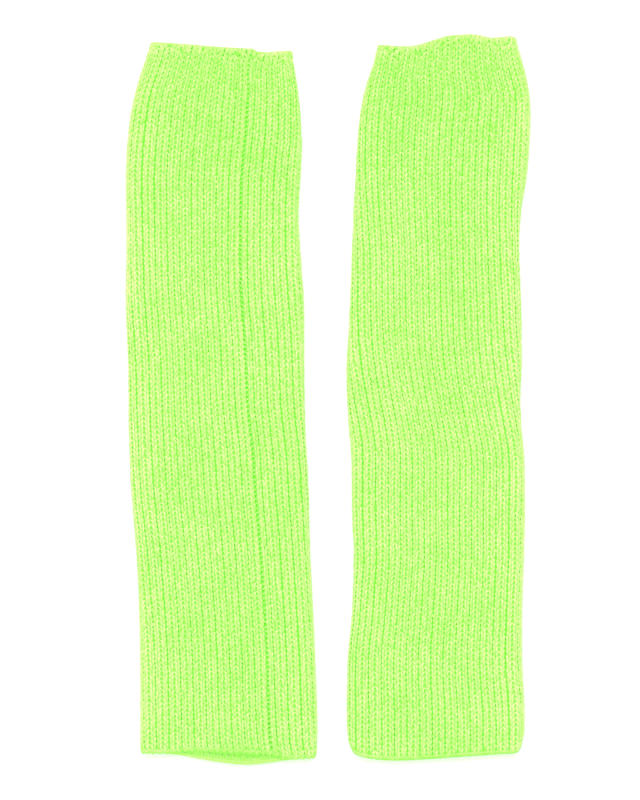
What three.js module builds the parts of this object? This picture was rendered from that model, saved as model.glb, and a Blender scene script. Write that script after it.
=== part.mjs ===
// A pair of rib-knit leg warmers laid flat side by side. Millimetres, +Z up.
// +Y runs along the legs from the plain lower edges to the drawn-in upper edges.
// The origin is under the middle of the pair, in the plane that it lies on.
// Each leg warmer is one closed wall: a knitted tube pressed flat, its ribs
// raised on a plain inside, open at both ends and flat where it lies down.
import * as THREE from "three";

// Cloth
const WALL = 2.8; // from the plain inside to the crown of a rib
const GROOVE = 1.2; // depth of the groove between two ribs
const WALE_DIP = 0.35; // depth of the line between a rib's two columns of stitches
const SEAM_GROOVE = 1.6; // depth of the groove along the seam
const SEAM_WALE = 4.0; // width of the single column of stitches beside the seam

// Ribs
const RIBS = 28; // full ribs round one tube
const ANCHOR_RIBS = 8; // full ribs between the two grooves that the rib paths place
const RIB_PROFILE = [
  { at: 0, depth: GROOVE },
  { at: 0.27, depth: 0 },
  { at: 0.5, depth: WALE_DIP },
  { at: 0.73, depth: 0 },
];

// Flattened tube
const REST_GAP = 0.8; // between the two layers in the middle
const FOLD_GAP = 1.6; // between the two layers beside a fold
const FOLD_REACH = 9; // how far in from the edge the fold holds the layers apart
const LEAST_GAP = 0.35;
const FOLD_HALF = 4.2; // half width of the rounded fold
const FOLD_SIDE = 4.2; // from the outermost point of a fold to the hollow
const PRESSED_SHARE = 0.5; // share of a fold's height over which its ribs rise from the flat underside
const INNER_COLUMNS = 11; // points of one layer's plain inside between its ends
const INNER_EASE = 0.5; // 0 spaces those points evenly, 1 crowds them fully towards the folds

// Edges
const EDGE_BAND = 4.5; // height of the smooth cast-on and cast-off band
const EDGE_RIB = 0.4; // share of the rib relief left at the very edge
const EDGE_THINNING = 0.5; // how much thinner the wall is at the very edge
const EDGE_SCALLOP = 0.6; // how far a rib stands out past its grooves at the edge
const EDGE_REACH = 70; // how far in from an edge its slant is felt

// Distances of the section rings from the upper and the lower edge
const UPPER_RINGS = [0, EDGE_BAND, 10, 18, 28, 40, 54, 70];
const LOWER_RINGS = [24, 11, EDGE_BAND, 0];

// upperY, lowerY: heights between which the section rings stand level.
// middleSpacings: ring spacings between the rings near the two edges, more of
//   them where the ribs turn faster round the tube.
// ribsBeforeSeam: ribs from the placed ones on to the seam.
// outline: left and right edge at a height y along the leg.
// upperEdge, lowerEdge: height of the edge of the front and back layer at a
//   share of the width, 0 at the left fold and 1 at the right fold.
// ribPath: distance of the first full groove from the left fold, and the width
//   of ANCHOR_RIBS ribs from there, at a height y.
// swells: soft rises and dips of the upper layer; half sizes across and along,
//   turned anticlockwise by turn degrees.
const LEFT = {
  name: "left_leg_warmer",
  upperY: 198,
  lowerY: -200,
  middleSpacings: 10,
  ribsBeforeSeam: 0,
  outline: [
    { y: 203, left: -98.7, right: -21.0 },
    { y: 194.5, left: -101.2, right: -19.9 },
    { y: 186.5, left: -103.6, right: -18.6 },
    { y: 176.5, left: -107.0, right: -16.9 },
    { y: 162, left: -110.7, right: -15.4 },
    { y: 145, left: -113.1, right: -14.7 },
    { y: 126, left: -114.0, right: -15.6 },
    { y: 105, left: -113.8, right: -16.7 },
    { y: 81, left: -113.7, right: -15.5 },
    { y: 55, left: -114.0, right: -13.8 },
    { y: 20, left: -113.0, right: -13.3 },
    { y: -15, left: -112.6, right: -12.6 },
    { y: -50, left: -111.4, right: -10.9 },
    { y: -75, left: -109.2, right: -10.6 },
    { y: -100, left: -107.4, right: -9.5 },
    { y: -140, left: -105.9, right: -7.6 },
    { y: -180, left: -105.8, right: -6.3 },
    { y: -206, left: -106.0, right: -6.7 },
  ],
  upperEdge: [
    { across: 0, front: 201.0, back: 201.0 },
    { across: 0.26, front: 200.4, back: 199.7 },
    { across: 0.5, front: 198.9, back: 198.1 },
    { across: 0.69, front: 197.8, back: 196.7 },
    { across: 0.73, front: 194.8, back: 196.6 },
    { across: 0.78, front: 194.6, back: 196.4 },
    { across: 0.83, front: 196.0, back: 196.1 },
    { across: 0.95, front: 196.4, back: 196.1 },
    { across: 1, front: 196.0, back: 196.0 },
  ],
  lowerEdge: [
    { across: 0, front: -199.0, back: -199.0 },
    { across: 0.1, front: -199.1, back: -199.2 },
    { across: 0.19, front: -198.9, back: -199.8 },
    { across: 0.26, front: -197.8, back: -200.8 },
    { across: 0.34, front: -197.8, back: -202.4 },
    { across: 0.47, front: -198.3, back: -204.5 },
    { across: 0.6, front: -199.1, back: -205.7 },
    { across: 0.69, front: -199.6, back: -205.0 },
    { across: 0.77, front: -200.2, back: -203.9 },
    { across: 0.84, front: -202.2, back: -203.0 },
    { across: 1, front: -201.6, back: -201.6 },
  ],
  ribPath: [
    { y: 203, groove: 8.3, span: 50.0 },
    { y: 190, groove: 9.3, span: 48.5 },
    { y: 180, groove: 9.3, span: 51.5 },
    { y: 170, groove: 8.7, span: 55.0 },
    { y: 150, groove: 9.3, span: 56.8 },
    { y: 120, groove: 9.0, span: 56.0 },
    { y: 80, groove: 9.6, span: 54.6 },
    { y: 40, groove: 11.5, span: 54.6 },
    { y: 0, groove: 12.4, span: 54.8 },
    { y: -35, groove: 13.0, span: 57.0 },
    { y: -100, groove: 14.0, span: 56.2 },
    { y: -140, groove: 15.3, span: 55.8 },
    { y: -190, groove: 16.4, span: 56.6 },
    { y: -206, groove: 16.6, span: 60.0 },
  ],
  swells: [
    { across: 0.5, y: -204, halfAcross: 27, halfAlong: 30, turn: 0, rise: 2.5 },
    { across: 0.2, y: 152, halfAcross: 17, halfAlong: 15, turn: 10, rise: 1.0 },
    { across: 0.86, y: 158, halfAcross: 11, halfAlong: 18, turn: -20, rise: 1.2 },
    { across: 0.3, y: 84, halfAcross: 24, halfAlong: 18, turn: 15, rise: 0.8 },
    { across: 0.82, y: 32, halfAcross: 12, halfAlong: 24, turn: 0, rise: 1.0 },
    { across: 0.55, y: 6, halfAcross: 12, halfAlong: 26, turn: 10, rise: 0.7 },
    { across: 0.84, y: -22, halfAcross: 13, halfAlong: 7, turn: 12, rise: -0.6 },
    { across: 0.87, y: -92, halfAcross: 10, halfAlong: 38, turn: 4, rise: 1.1 },
    { across: 0.22, y: -66, halfAcross: 20, halfAlong: 24, turn: -12, rise: 0.8 },
    { across: 0.35, y: -142, halfAcross: 24, halfAlong: 22, turn: 8, rise: 0.7 },
  ],
};

const RIGHT = {
  name: "right_leg_warmer",
  upperY: 201,
  lowerY: -199,
  middleSpacings: 14,
  ribsBeforeSeam: 10,
  outline: [
    { y: 206, left: 28.6, right: 104.8 },
    { y: 194.5, left: 26.7, right: 107.2 },
    { y: 186.5, left: 24.4, right: 109.6 },
    { y: 176.5, left: 21.2, right: 112.3 },
    { y: 162, left: 18.1, right: 114.0 },
    { y: 145, left: 16.3, right: 113.5 },
    { y: 126, left: 15.2, right: 111.8 },
    { y: 105, left: 14.4, right: 108.9 },
    { y: 81, left: 13.4, right: 107.9 },
    { y: 55, left: 12.1, right: 108.7 },
    { y: 20, left: 10.5, right: 109.1 },
    { y: -10, left: 11.1, right: 108.6 },
    { y: -30, left: 12.8, right: 110.3 },
    { y: -60, left: 13.2, right: 110.9 },
    { y: -90, left: 14.2, right: 110.2 },
    { y: -120, left: 13.2, right: 109.3 },
    { y: -145, left: 11.0, right: 109.3 },
    { y: -175, left: 10.3, right: 110.4 },
    { y: -190, left: 10.4, right: 110.7 },
    { y: -206, left: 11.2, right: 110.2 },
  ],
  upperEdge: [
    { across: 0, front: 199.6, back: 199.6 },
    { across: 0.29, front: 198.9, back: 199.6 },
    { across: 0.37, front: 201.6, back: 200.0 },
    { across: 0.5, front: 204.6, back: 201.6 },
    { across: 0.62, front: 205.6, back: 202.8 },
    { across: 0.75, front: 204.8, back: 203.4 },
    { across: 0.85, front: 203.7, back: 203.2 },
    { across: 0.95, front: 204.6, back: 204.3 },
    { across: 1, front: 203.7, back: 203.7 },
  ],
  lowerEdge: [
    { across: 0, front: -190.5, back: -190.5 },
    { across: 0.01, front: -194.4, back: -194.4 },
    { across: 0.03, front: -198.0, back: -198.0 },
    { across: 0.065, front: -200.3, back: -200.5 },
    { across: 0.13, front: -202.0, back: -202.3 },
    { across: 0.22, front: -202.7, back: -203.3 },
    { across: 0.31, front: -202.8, back: -203.4 },
    { across: 0.4, front: -202.5, back: -202.9 },
    { across: 0.49, front: -202.1, back: -202.3 },
    { across: 0.675, front: -200.8, back: -200.8 },
    { across: 0.857, front: -199.5, back: -199.5 },
    { across: 0.947, front: -198.9, back: -198.9 },
    { across: 0.975, front: -197.4, back: -197.4 },
    { across: 0.991, front: -194.4, back: -194.4 },
    { across: 1, front: -190.0, back: -190.0 },
  ],
  ribPath: [
    { y: 206, groove: 0.5, span: 47.0 },
    { y: 186, groove: 1.4, span: 50.7 },
    { y: 169, groove: 3.1, span: 56.0 },
    { y: 150, groove: 4.3, span: 55.7 },
    { y: 118, groove: 6.5, span: 54.0 },
    { y: 84, groove: 10.0, span: 52.4 },
    { y: 50, groove: 12.1, span: 52.9 },
    { y: 30, groove: 14.2, span: 52.6 },
    { y: 5, groove: 18.0, span: 52.2 },
    { y: -17, groove: 21.0, span: 52.4 },
    { y: -40, groove: 21.0, span: 53.6 },
    { y: -84, groove: 20.3, span: 53.0 },
    { y: -118, groove: 19.0, span: 54.0 },
    { y: -150, groove: 19.2, span: 55.5 },
    { y: -175, groove: 20.0, span: 56.8 },
    { y: -190, groove: 19.9, span: 57.0 },
    { y: -206, groove: 19.1, span: 57.0 },
  ],
  swells: [
    { across: 0.56, y: 205, halfAcross: 23, halfAlong: 38, turn: 0, rise: 2.8 },
    { across: 0.38, y: 105, halfAcross: 6, halfAlong: 52, turn: 0, rise: -0.6 },
    { across: 0.8, y: 128, halfAcross: 14, halfAlong: 24, turn: 8, rise: 0.9 },
    { across: 0.72, y: 22, halfAcross: 20, halfAlong: 20, turn: 12, rise: 1.5 },
    { across: 0.8, y: -33, halfAcross: 18, halfAlong: 7, turn: -14, rise: -0.7 },
    { across: 0.27, y: -18, halfAcross: 17, halfAlong: 6, turn: -4, rise: -0.7 },
    { across: 0.22, y: 12, halfAcross: 15, halfAlong: 14, turn: 0, rise: 0.8 },
    { across: 0.72, y: -68, halfAcross: 20, halfAlong: 18, turn: -14, rise: 0.8 },
    { across: 0.2, y: -120, halfAcross: 14, halfAlong: 26, turn: 10, rise: 0.9 },
    { across: 0.6, y: -138, halfAcross: 24, halfAlong: 16, turn: 6, rise: 0.7 },
  ],
};

// Yarn colour
const YARN = { color: 0xc8fd83, roughness: 0.95, metalness: 0 };

// Smooth value between the rows of a table: a Catmull-Rom curve through column
// `value`, the rows being in order of column `key`, up or down.
function readTable(rows, key, value, at) {
  const rising = rows[rows.length - 1][key] > rows[0][key];
  const passed = (row) => (rising ? row[key] <= at : row[key] >= at);
  let i = rows.findLastIndex(passed);
  i = Math.min(Math.max(i, 0), rows.length - 2);
  const row = (n) => rows[Math.min(Math.max(n, 0), rows.length - 1)];
  const slope = (n) => (row(n + 1)[value] - row(n - 1)[value]) / (row(n + 1)[key] - row(n - 1)[key]);
  const step = rows[i + 1][key] - rows[i][key];
  const t = Math.min(Math.max((at - rows[i][key]) / step, 0), 1);
  const t2 = t * t;
  const t3 = t2 * t;
  return (
    (2 * t3 - 3 * t2 + 1) * rows[i][value] +
    (t3 - 2 * t2 + t) * step * slope(i) +
    (3 * t2 - 2 * t3) * rows[i + 1][value] +
    (t3 - t2) * step * slope(i + 1)
  );
}

// 0 at from and before it, 1 at to and after it, smooth between.
function smoothStep(from, to, at) {
  const t = Math.min(Math.max((at - from) / (to - from), 0), 1);
  return t * t * (3 - 2 * t);
}

// Height of one swell above the flat layer at a place on the tube.
function swellAt(swell, left, width, x, y) {
  const turn = THREE.MathUtils.degToRad(swell.turn);
  const dx = x - (left + swell.across * width);
  const dy = y - swell.y;
  const across = (dx * Math.cos(turn) + dy * Math.sin(turn)) / swell.halfAcross;
  const along = (dy * Math.cos(turn) - dx * Math.sin(turn)) / swell.halfAlong;
  return swell.rise * Math.exp(-(across * across + along * along));
}

// The flattened tube's shape: every measure that a point of its wall needs.
class Tube {
  constructor(spec) {
    this.spec = spec;
  }

  left(y) {
    return readTable(this.spec.outline, "y", "left", y);
  }

  right(y) {
    return readTable(this.spec.outline, "y", "right", y);
  }

  // Clear height between the two layers.
  gap(x, y) {
    const left = this.left(y);
    const right = this.right(y);
    const fromFold = Math.max(Math.min(x - left, right - x), 0);
    const inside = smoothStep(0, 2 * FOLD_REACH, fromFold);
    let gap = REST_GAP + (FOLD_GAP - REST_GAP) * Math.exp(-((fromFold / FOLD_REACH) ** 2));
    for (const swell of this.spec.swells) {
      gap += inside * swellAt(swell, left, right - left, x, y);
    }
    return Math.max(gap, LEAST_GAP);
  }

  // Height of the rib crowns of the upper layer above the surface below.
  top(x, y) {
    return 2 * WALL + this.gap(x, y);
  }

  // A point's height along the leg: a level ring, slanted towards the edges.
  slant(ringY, x, layer) {
    const { upperY, lowerY, upperEdge, lowerEdge } = this.spec;
    const left = this.left(ringY);
    const across = Math.min(Math.max((x - left) / (this.right(ringY) - left), 0), 1);
    const upper = readTable(upperEdge, "across", layer, across) - upperY;
    const lower = readTable(lowerEdge, "across", layer, across) - lowerY;
    return (
      ringY +
      upper * smoothStep(upperY - EDGE_REACH, upperY, ringY) +
      lower * smoothStep(lowerY + EDGE_REACH, lowerY, ringY)
    );
  }

  // Levels of the section rings, from the upper edge down.
  ringLevels() {
    const { upperY, lowerY, middleSpacings } = this.spec;
    const upper = UPPER_RINGS.map((d) => upperY - d);
    const lower = LOWER_RINGS.map((d) => lowerY + d);
    const from = upper[upper.length - 1];
    const to = lower[0];
    const middle = [];
    for (let i = 1; i < middleSpacings; i++) {
      middle.push(from + ((to - from) * i) / middleSpacings);
    }
    return [...upper, ...middle, ...lower];
  }

  // Measures of the section at one ring. Arc lengths round it start at the
  // left fold and run over the upper layer to the right fold and back below.
  section(y) {
    const left = this.left(y);
    const right = this.right(y);
    const height = this.top(left + FOLD_HALF, y);
    const quarter = (Math.PI / 2) * Math.sqrt((FOLD_HALF ** 2 + (height / 2) ** 2) / 2);
    const flat = right - left - 2 * FOLD_HALF;
    return { y, left, right, quarter, flat, round: 2 * flat + 4 * quarter };
  }

  // Arc length of each column of points round one section, with its depth
  // below the rib crowns: the grooves, crowns and the seam.
  columns(section) {
    const { ribPath, ribsBeforeSeam } = this.spec;
    const start = readTable(ribPath, "y", "groove", section.y) - FOLD_HALF + section.quarter;
    const span = readTable(ribPath, "y", "span", section.y);
    const others = RIBS - ANCHOR_RIBS;
    const pitch = (section.round - span - SEAM_WALE) / others;
    const columns = [];
    let at = start;
    for (let rib = 0; rib < RIBS; rib++) {
      if (rib === ANCHOR_RIBS + ribsBeforeSeam) {
        columns.push({ at, depth: SEAM_GROOVE });
        columns.push({ at: at + SEAM_WALE / 2, depth: 0 });
        at += SEAM_WALE;
      }
      const width = rib < ANCHOR_RIBS ? span / ANCHOR_RIBS : pitch;
      for (const part of RIB_PROFILE) {
        columns.push({ at: at + part.at * width, depth: part.depth });
      }
      at += width;
    }
    return columns;
  }

  // The point of the outer surface at an arc length, sunk by depth.
  outerPoint(section, arc, depth, edge) {
    const { left, right, quarter, flat, round, y } = section;
    let a = arc % round;
    a += a < 0 ? round : 0;
    const half = round / 2;
    const below = a > half;
    const fromLeft = below ? round - a : a;
    const layer = below ? "back" : "front";
    let x;
    let lift;
    let outX = 0;
    let outZ = below ? -1 : 1;
    if (fromLeft < quarter || fromLeft > quarter + flat) {
      const onLeft = fromLeft < quarter;
      const turn = (Math.PI / 2) * ((onLeft ? fromLeft : half - fromLeft) / quarter);
      outX = Math.cos(turn) * (onLeft ? -1 : 1);
      outZ *= Math.sin(turn);
      x = (onLeft ? left + FOLD_HALF : right - FOLD_HALF) + outX * FOLD_HALF;
      lift = (1 + outZ) / 2;
    } else {
      x = left + FOLD_HALF + fromLeft - quarter;
      lift = below ? 0 : 1;
    }
    // The underside is flat where it rests: its ribs are pressed in.
    const shown = below ? smoothStep(0, PRESSED_SHARE, lift) : 1;
    const bandRib = THREE.MathUtils.lerp(1, EDGE_RIB, edge);
    const sunk = (depth * bandRib + EDGE_THINNING * edge * (below ? 0 : 1)) * shown;
    const scallop = EDGE_SCALLOP * edge * (depth < GROOVE ? 0 : -1);
    const pointY = this.slant(y, x, layer) + scallop * Math.sign(y);
    const height = this.top(THREE.MathUtils.clamp(x, left + FOLD_HALF, right - FOLD_HALF), pointY);
    return [x - outX * sunk, pointY, lift * height - outZ * sunk];
  }

  // The outer surface's ring of points.
  outerRing(y, edge) {
    const section = this.section(y);
    return this.columns(section).map(({ at, depth }) => ({
      share: (((at / section.round) % 1) + 1) % 1,
      point: this.outerPoint(section, at, depth, edge),
    }));
  }

  // The plain inside's ring of points: both ends and the columns of each layer.
  innerRing(y) {
    const { left, right, quarter, round } = this.section(y);
    const from = left + FOLD_SIDE;
    const to = right - FOLD_SIDE;
    const columns = [];
    for (let i = 1; i <= INNER_COLUMNS; i++) {
      const even = i / (INNER_COLUMNS + 1);
      const crowded = (1 - Math.cos(Math.PI * even)) / 2;
      columns.push(from + (to - from) * THREE.MathUtils.lerp(even, crowded, INNER_EASE));
    }
    const arc = (x) => (quarter + x - left - FOLD_HALF) / round;
    const end = (x, share) => {
      const pointY = (this.slant(y, x, "front") + this.slant(y, x, "back")) / 2;
      return { share, point: [x, pointY, WALL + this.gap(x, pointY) / 2] };
    };
    const upper = columns.map((x) => {
      const pointY = this.slant(y, x, "front");
      return { share: arc(x), point: [x, pointY, WALL + this.gap(x, pointY)] };
    });
    const lower = columns.toReversed().map((x) => {
      return { share: 1 - arc(x), point: [x, this.slant(y, x, "back"), WALL] };
    });
    return [end(from, 0), ...upper, end(to, 0.5), ...lower];
  }
}

// Collects shared points and the triangles between them.
class Surface {
  constructor() {
    this.points = [];
    this.triangles = [];
  }

  addRing(ring) {
    return ring.map(({ share, point }) => {
      this.points.push(...point);
      return { share, index: this.points.length / 3 - 1 };
    });
  }

  addTriangle(a, b, c, turned) {
    this.triangles.push(...(turned ? [a, c, b] : [a, b, c]));
  }

  // Quads between two rings that have the same columns.
  addStrip(upper, lower, turned) {
    for (let i = 0; i < upper.length; i++) {
      const j = (i + 1) % upper.length;
      this.addTriangle(upper[i].index, lower[i].index, lower[j].index, turned);
      this.addTriangle(upper[i].index, lower[j].index, upper[j].index, turned);
    }
  }

  // Triangles between an outer and an inner ring that have different columns:
  // at each step the ring whose next point comes first round the tube moves on.
  addRim(outer, inner, turned) {
    const sorted = (ring) => ring.toSorted((a, b) => a.share - b.share);
    const out = sorted(outer);
    const ins = sorted(inner);
    const share = (ring, n) => ring[n % ring.length].share + Math.floor(n / ring.length);
    let i = 0;
    let j = 0;
    while (i < out.length || j < ins.length) {
      const a = out[i % out.length].index;
      const b = ins[j % ins.length].index;
      const outNext = i < out.length ? share(out, i + 1) : Infinity;
      const inNext = j < ins.length ? share(ins, j + 1) : Infinity;
      if (outNext <= inNext) {
        i++;
        this.addTriangle(a, out[i % out.length].index, b, turned);
      } else {
        j++;
        this.addTriangle(ins[j % ins.length].index, b, a, turned);
      }
    }
  }

  geometry() {
    const geometry = new THREE.BufferGeometry();
    geometry.setAttribute("position", new THREE.Float32BufferAttribute(this.points, 3));
    geometry.setIndex(this.triangles);
    geometry.computeVertexNormals();
    return geometry;
  }
}

// One leg warmer as a single closed wall.
function legWarmer(spec) {
  const tube = new Tube(spec);
  const surface = new Surface();
  const levels = tube.ringLevels();
  const last = levels.length - 1;
  const edge = (i) => (i === 0 || i === last ? 1 : 0);
  const outer = levels.map((y, i) => surface.addRing(tube.outerRing(y, edge(i))));
  const inner = levels.map((y) => surface.addRing(tube.innerRing(y)));
  for (let i = 0; i < last; i++) {
    surface.addStrip(outer[i], outer[i + 1], false);
    surface.addStrip(inner[i], inner[i + 1], true);
  }
  surface.addRim(outer[0], inner[0], false);
  surface.addRim(outer[last], inner[last], true);
  const material = new THREE.MeshStandardMaterial(YARN);
  const mesh = new THREE.Mesh(surface.geometry(), material);
  mesh.name = spec.name;
  return mesh;
}

const pair = new THREE.Group();
pair.add(legWarmer(LEFT), legWarmer(RIGHT));

export default pair;
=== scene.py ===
"""A pair of rib-knit leg warmers laid flat side by side, in one fluorescent yarn.

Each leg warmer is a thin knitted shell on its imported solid's form. Its stitches
are plump yarn legs set on that shell row by row, with long smooth loops along
both edges, stitches inside the two mouths and one sewn seam. Lengths are in
millimetres until a mesh is made, and meshes are in metres.
"""

import logging
import math
from dataclasses import dataclass, fields
from enum import Enum
from typing import NamedTuple

import bmesh
import bpy
import numpy as np
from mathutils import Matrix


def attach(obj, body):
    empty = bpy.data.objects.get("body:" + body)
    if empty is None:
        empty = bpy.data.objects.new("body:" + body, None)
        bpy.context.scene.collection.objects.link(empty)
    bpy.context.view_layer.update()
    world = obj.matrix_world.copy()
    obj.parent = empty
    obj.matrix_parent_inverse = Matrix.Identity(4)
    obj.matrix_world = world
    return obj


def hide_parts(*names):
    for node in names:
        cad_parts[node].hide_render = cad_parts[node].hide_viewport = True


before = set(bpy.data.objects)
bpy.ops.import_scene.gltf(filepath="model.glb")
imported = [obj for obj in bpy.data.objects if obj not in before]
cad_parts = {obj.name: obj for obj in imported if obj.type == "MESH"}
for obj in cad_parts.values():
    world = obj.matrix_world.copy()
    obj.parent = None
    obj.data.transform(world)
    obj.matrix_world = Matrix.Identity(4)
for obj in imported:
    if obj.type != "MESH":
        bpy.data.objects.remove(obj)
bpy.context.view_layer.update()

MM = 0.001
BODY = "root"
SEED_STEP = 10

logging.basicConfig(level=logging.INFO, format="%(name)s: %(message)s")
LOG = logging.getLogger("leg_warmers")

Colour = tuple[float, float, float]
Place = tuple[float, float, float]


# Sizes that both leg warmers share


@dataclass(frozen=True)
class RibKnit:
    """Sizes of the knitting.

    Attributes:
        wall: From the plain inside to the crown of a rib.
        groove: Depth of the groove between two ribs.
        groove_half: Half width of that groove, in ribs.
        wale_dip: Depth of the line between a rib's two columns of stitches.
        wale_dip_half: Half width of that line, in ribs.
        seam_sink: How much deeper the groove along the seam is.
        seam_share: Width of the single column beside the seam, in ribs.
        seam_wale: The same width in millimetres.
        ribs: Full ribs round one tube.
        anchor_ribs: Ribs between the two grooves that the rib paths place.
        course: Height of one row of stitches.
        yarn_half: Half thickness of the yarn, outwards.
        cloth_depth: How far the shell lies below the crowns of the stitches.
        standing: How far the stitches' crowns stand out past the solid's.
        shut_depth: Share of its depth that a shut groove keeps.
        open_depth: Share of its depth that an openness of 1 adds.
        tip: From a stitch's middle to its ends, with some to spare.
        leg_reach: From a leg's middle to its ends, in rows.
        stagger: How much higher the legs beside a groove are, in rows.
        closing: How far a leg moves towards a groove that is shut, in ribs.
        seam_parting: How far the legs beside the seam stand back from it, in ribs.
        parting_to: Up to this far from the seam they do so fully, in ribs.
        parting_half: How far beyond that it takes to fade, in ribs.
        seam_closed: How much of the seam's depth is left at the upper edge.
    """

    wall: float = 2.8
    groove: float = 1.2
    groove_half: float = 0.12
    wale_dip: float = 0.35
    wale_dip_half: float = 0.08
    seam_sink: float = 0.7
    seam_share: float = 0.58
    seam_wale: float = 4.0
    ribs: int = 28
    anchor_ribs: int = 8
    course: float = 2.67
    tip: float = 2.4
    leg_reach: float = 0.85
    stagger: float = 0.35
    yarn_half: float = 0.75
    cloth_depth: float = 1.0
    standing: float = 0.25
    shut_depth: float = 0.3
    open_depth: float = 0.6
    closing: float = 0.045
    seam_parting: float = 0.05
    parting_to: float = 0.2
    parting_half: float = 0.1
    seam_closed: float = 0.4


class Wave(NamedTuple):
    """A wave over the cloth.

    Attributes:
        height: How far it swings to each side.
        across: Its turn with each rib, in radians.
        along: Its turn with each millimetre along the leg, in radians.
        start: Its turn at the first placed groove at level 0, in radians.
    """

    height: float
    across: float
    along: float
    start: float

    def at(self, ribs: np.ndarray, level: np.ndarray) -> np.ndarray:
        """Returns its height at places round and along the leg."""
        return self.height * np.sin(ribs * self.across + level * self.along + self.start)


@dataclass(frozen=True)
class GrooveOpening:
    """How far the grooves between the ribs stand open, about 1.

    Attributes:
        usual: The usual openness.
        waves: How it changes from groove to groove and along the leg.
        drawn: Share of it that is left where the upper edge is drawn in.
        closed_from: Below the upper edge, down to here the grooves are drawn shut.
        open_from: Below the upper edge, from here on they stand open.
        wide_by: How much further open the wide grooves are.
    """

    usual: float = 0.88
    waves: tuple[Wave, ...] = (Wave(0.12, 5.3, 0.013, 1.0), Wave(0.16, 2.1, 0.047, 0.0))
    drawn: float = 0.3
    closed_from: float = 8.0
    open_from: float = 42.0
    wide_by: float = 0.26


@dataclass(frozen=True)
class Unevenness:
    """How the stitches differ from an even grid.

    Attributes:
        column_shift: How far a column of stitches is shifted along the leg, in rows.
        waves: The waves in which the rows run, in millimetres.
        place: How far a stitch strays, in rows along the leg and in leg widths across.
        lean: How far it leans, in radians.
        girth: How much its thickness differs.
        crowded_to: Below the upper edge, down to here the stitches crowd and mix.
        even_from: Below the upper edge, from here on they stand in even columns.
        crowd_stray: How far crowded stitches stray, in rows and in radians.
        crowd_girth: How much fuller crowded stitches are.
    """

    column_shift: float = 0.12
    waves: tuple[Wave, ...] = (Wave(0.5, 0.9, 0.021, 0.0), Wave(0.35, 0.37, -0.047, 1.3))
    place: float = 0.07
    lean: float = 0.06
    girth: float = 0.07
    crowded_to: float = 3.0
    even_from: float = 11.0
    crowd_stray: float = 0.3
    crowd_girth: float = 0.35


@dataclass(frozen=True)
class Flattening:
    """How the tube lies pressed flat.

    Attributes:
        rest_gap: Between the two layers in the middle.
        fold_gap: Between the two layers beside a fold.
        fold_reach: How far in from the edge a fold holds the layers apart.
        least_gap: The least gap anywhere.
        fold_half: Half width of the rounded fold.
        pressed_share: Share of a fold's height over which ribs rise from the underside.
        under_relief: Share of the rib relief left where the underside is pressed.
        lining_close: Share of the half width over which the inside closes at a fold.
    """

    rest_gap: float = 0.8
    fold_gap: float = 1.6
    fold_reach: float = 9.0
    least_gap: float = 0.35
    fold_half: float = 4.2
    pressed_share: float = 0.5
    under_relief: float = 0.3
    lining_close: float = 0.04


@dataclass(frozen=True)
class EdgeBand:
    """Sizes of the smooth cast-on and cast-off bands.

    Attributes:
        height: Height of the band.
        rib_share: Share of the rib relief left at the very edge.
        thinning: How much thinner the cloth is at the very edge.
        upper_loops: Loops of the upper edge over one rib.
        lower_loops: Loops of the lower edge over one rib.
        overlap: Width of a loop over its spacing.
        loop_half: Half length of a loop, in heights of the band.
        loop_girth: Thickness of a loop, as a share of a stitch's.
        foremost_of: Of how many loops one stands foremost on a scalloped edge.
        back_share: Share of the scallop by which all its loops stand back.
        stray: How far a loop strays from its place.
        reach: How far in from an edge its slant is felt.
        rings: Where the shell's rings lie, from the edge in, in heights of the band.
    """

    height: float = 2.2
    rib_share: float = 0.15
    thinning: float = 0.4
    upper_loops: int = 4
    lower_loops: int = 6
    overlap: float = 1.3
    loop_half: float = 0.56
    loop_girth: float = 0.75
    foremost_of: int = 3
    back_share: float = 0.4
    stray: float = 0.03
    reach: float = 70.0
    rings: tuple[float, ...] = (0.0, 0.35, 0.7, 1.0)


@dataclass(frozen=True)
class Sewing:
    """Sizes of the threads that cross the seam's groove once a row.

    Attributes:
        end: From an edge of the cloth to the seam's first thread.
        stray: How far a thread strays along the seam.
        beside: How far beyond the middle of the groove the threads lie, in ribs.
        lift: How far their middles lie above the bottom of the groove.
        slant: How far they slant, as rise over run.
        slant_stray: How much the slant differs.
        width: Space that one thread takes along the seam.
        half_length: Half length of a thread.
        girth: Thickness of a thread, as a share of a stitch's.
    """

    end: float = 1.5
    stray: float = 0.15
    beside: float = 0.01
    lift: float = 0.5
    slant: float = 0.2
    slant_stray: float = 0.08
    width: float = 1.1
    half_length: float = 0.95
    girth: float = 0.55


@dataclass(frozen=True)
class ToneAndPaintedLight:
    """How the yarn's paleness changes over the cloth, 1 being the spread between stitches; much of it is
    painted light and shade.

    Attributes:
        fold: How much paler the yarn is along the outer fold, a painted highlight.
        fold_reach: How far in from that fold it is paler.
        middle: How much deeper it is along the middle, painted shade.
        middle_reach: Half width of that middle.
        upper: How much deeper it is at the upper edge, painted shade.
        upper_from: Height at which it starts to be deeper.
        edges: How much deeper the smooth edges are.
        mouths: How much paler the inside is right at the openings, painted light falling in.
        inward: How much deeper it gets with each millimetre inwards, painted shade inside the mouths.
        seam: How much paler the seam's threads are.
        crown: The shell's tone under the crowns of the ribs.
        groove: Its tone at the bottom of a full groove, painted shade.
        deepest: Down to here it follows the height, 0 a full groove and 1 a crown.
        rim: How much paler the shell is at its edges.
        inside: The shell's own tone inside.
    """

    fold: float = 0.3
    fold_reach: float = 14.0
    middle: float = 0.15
    middle_reach: float = 25.0
    upper: float = 0.45
    upper_from: float = 60.0
    edges: float = 0.3
    mouths: float = 0.9
    inward: float = 0.13
    seam: float = 0.15
    crown: float = 0.45
    groove: float = 0.2
    deepest: float = -0.8
    rim: float = 0.18
    inside: float = 0.45


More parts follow.
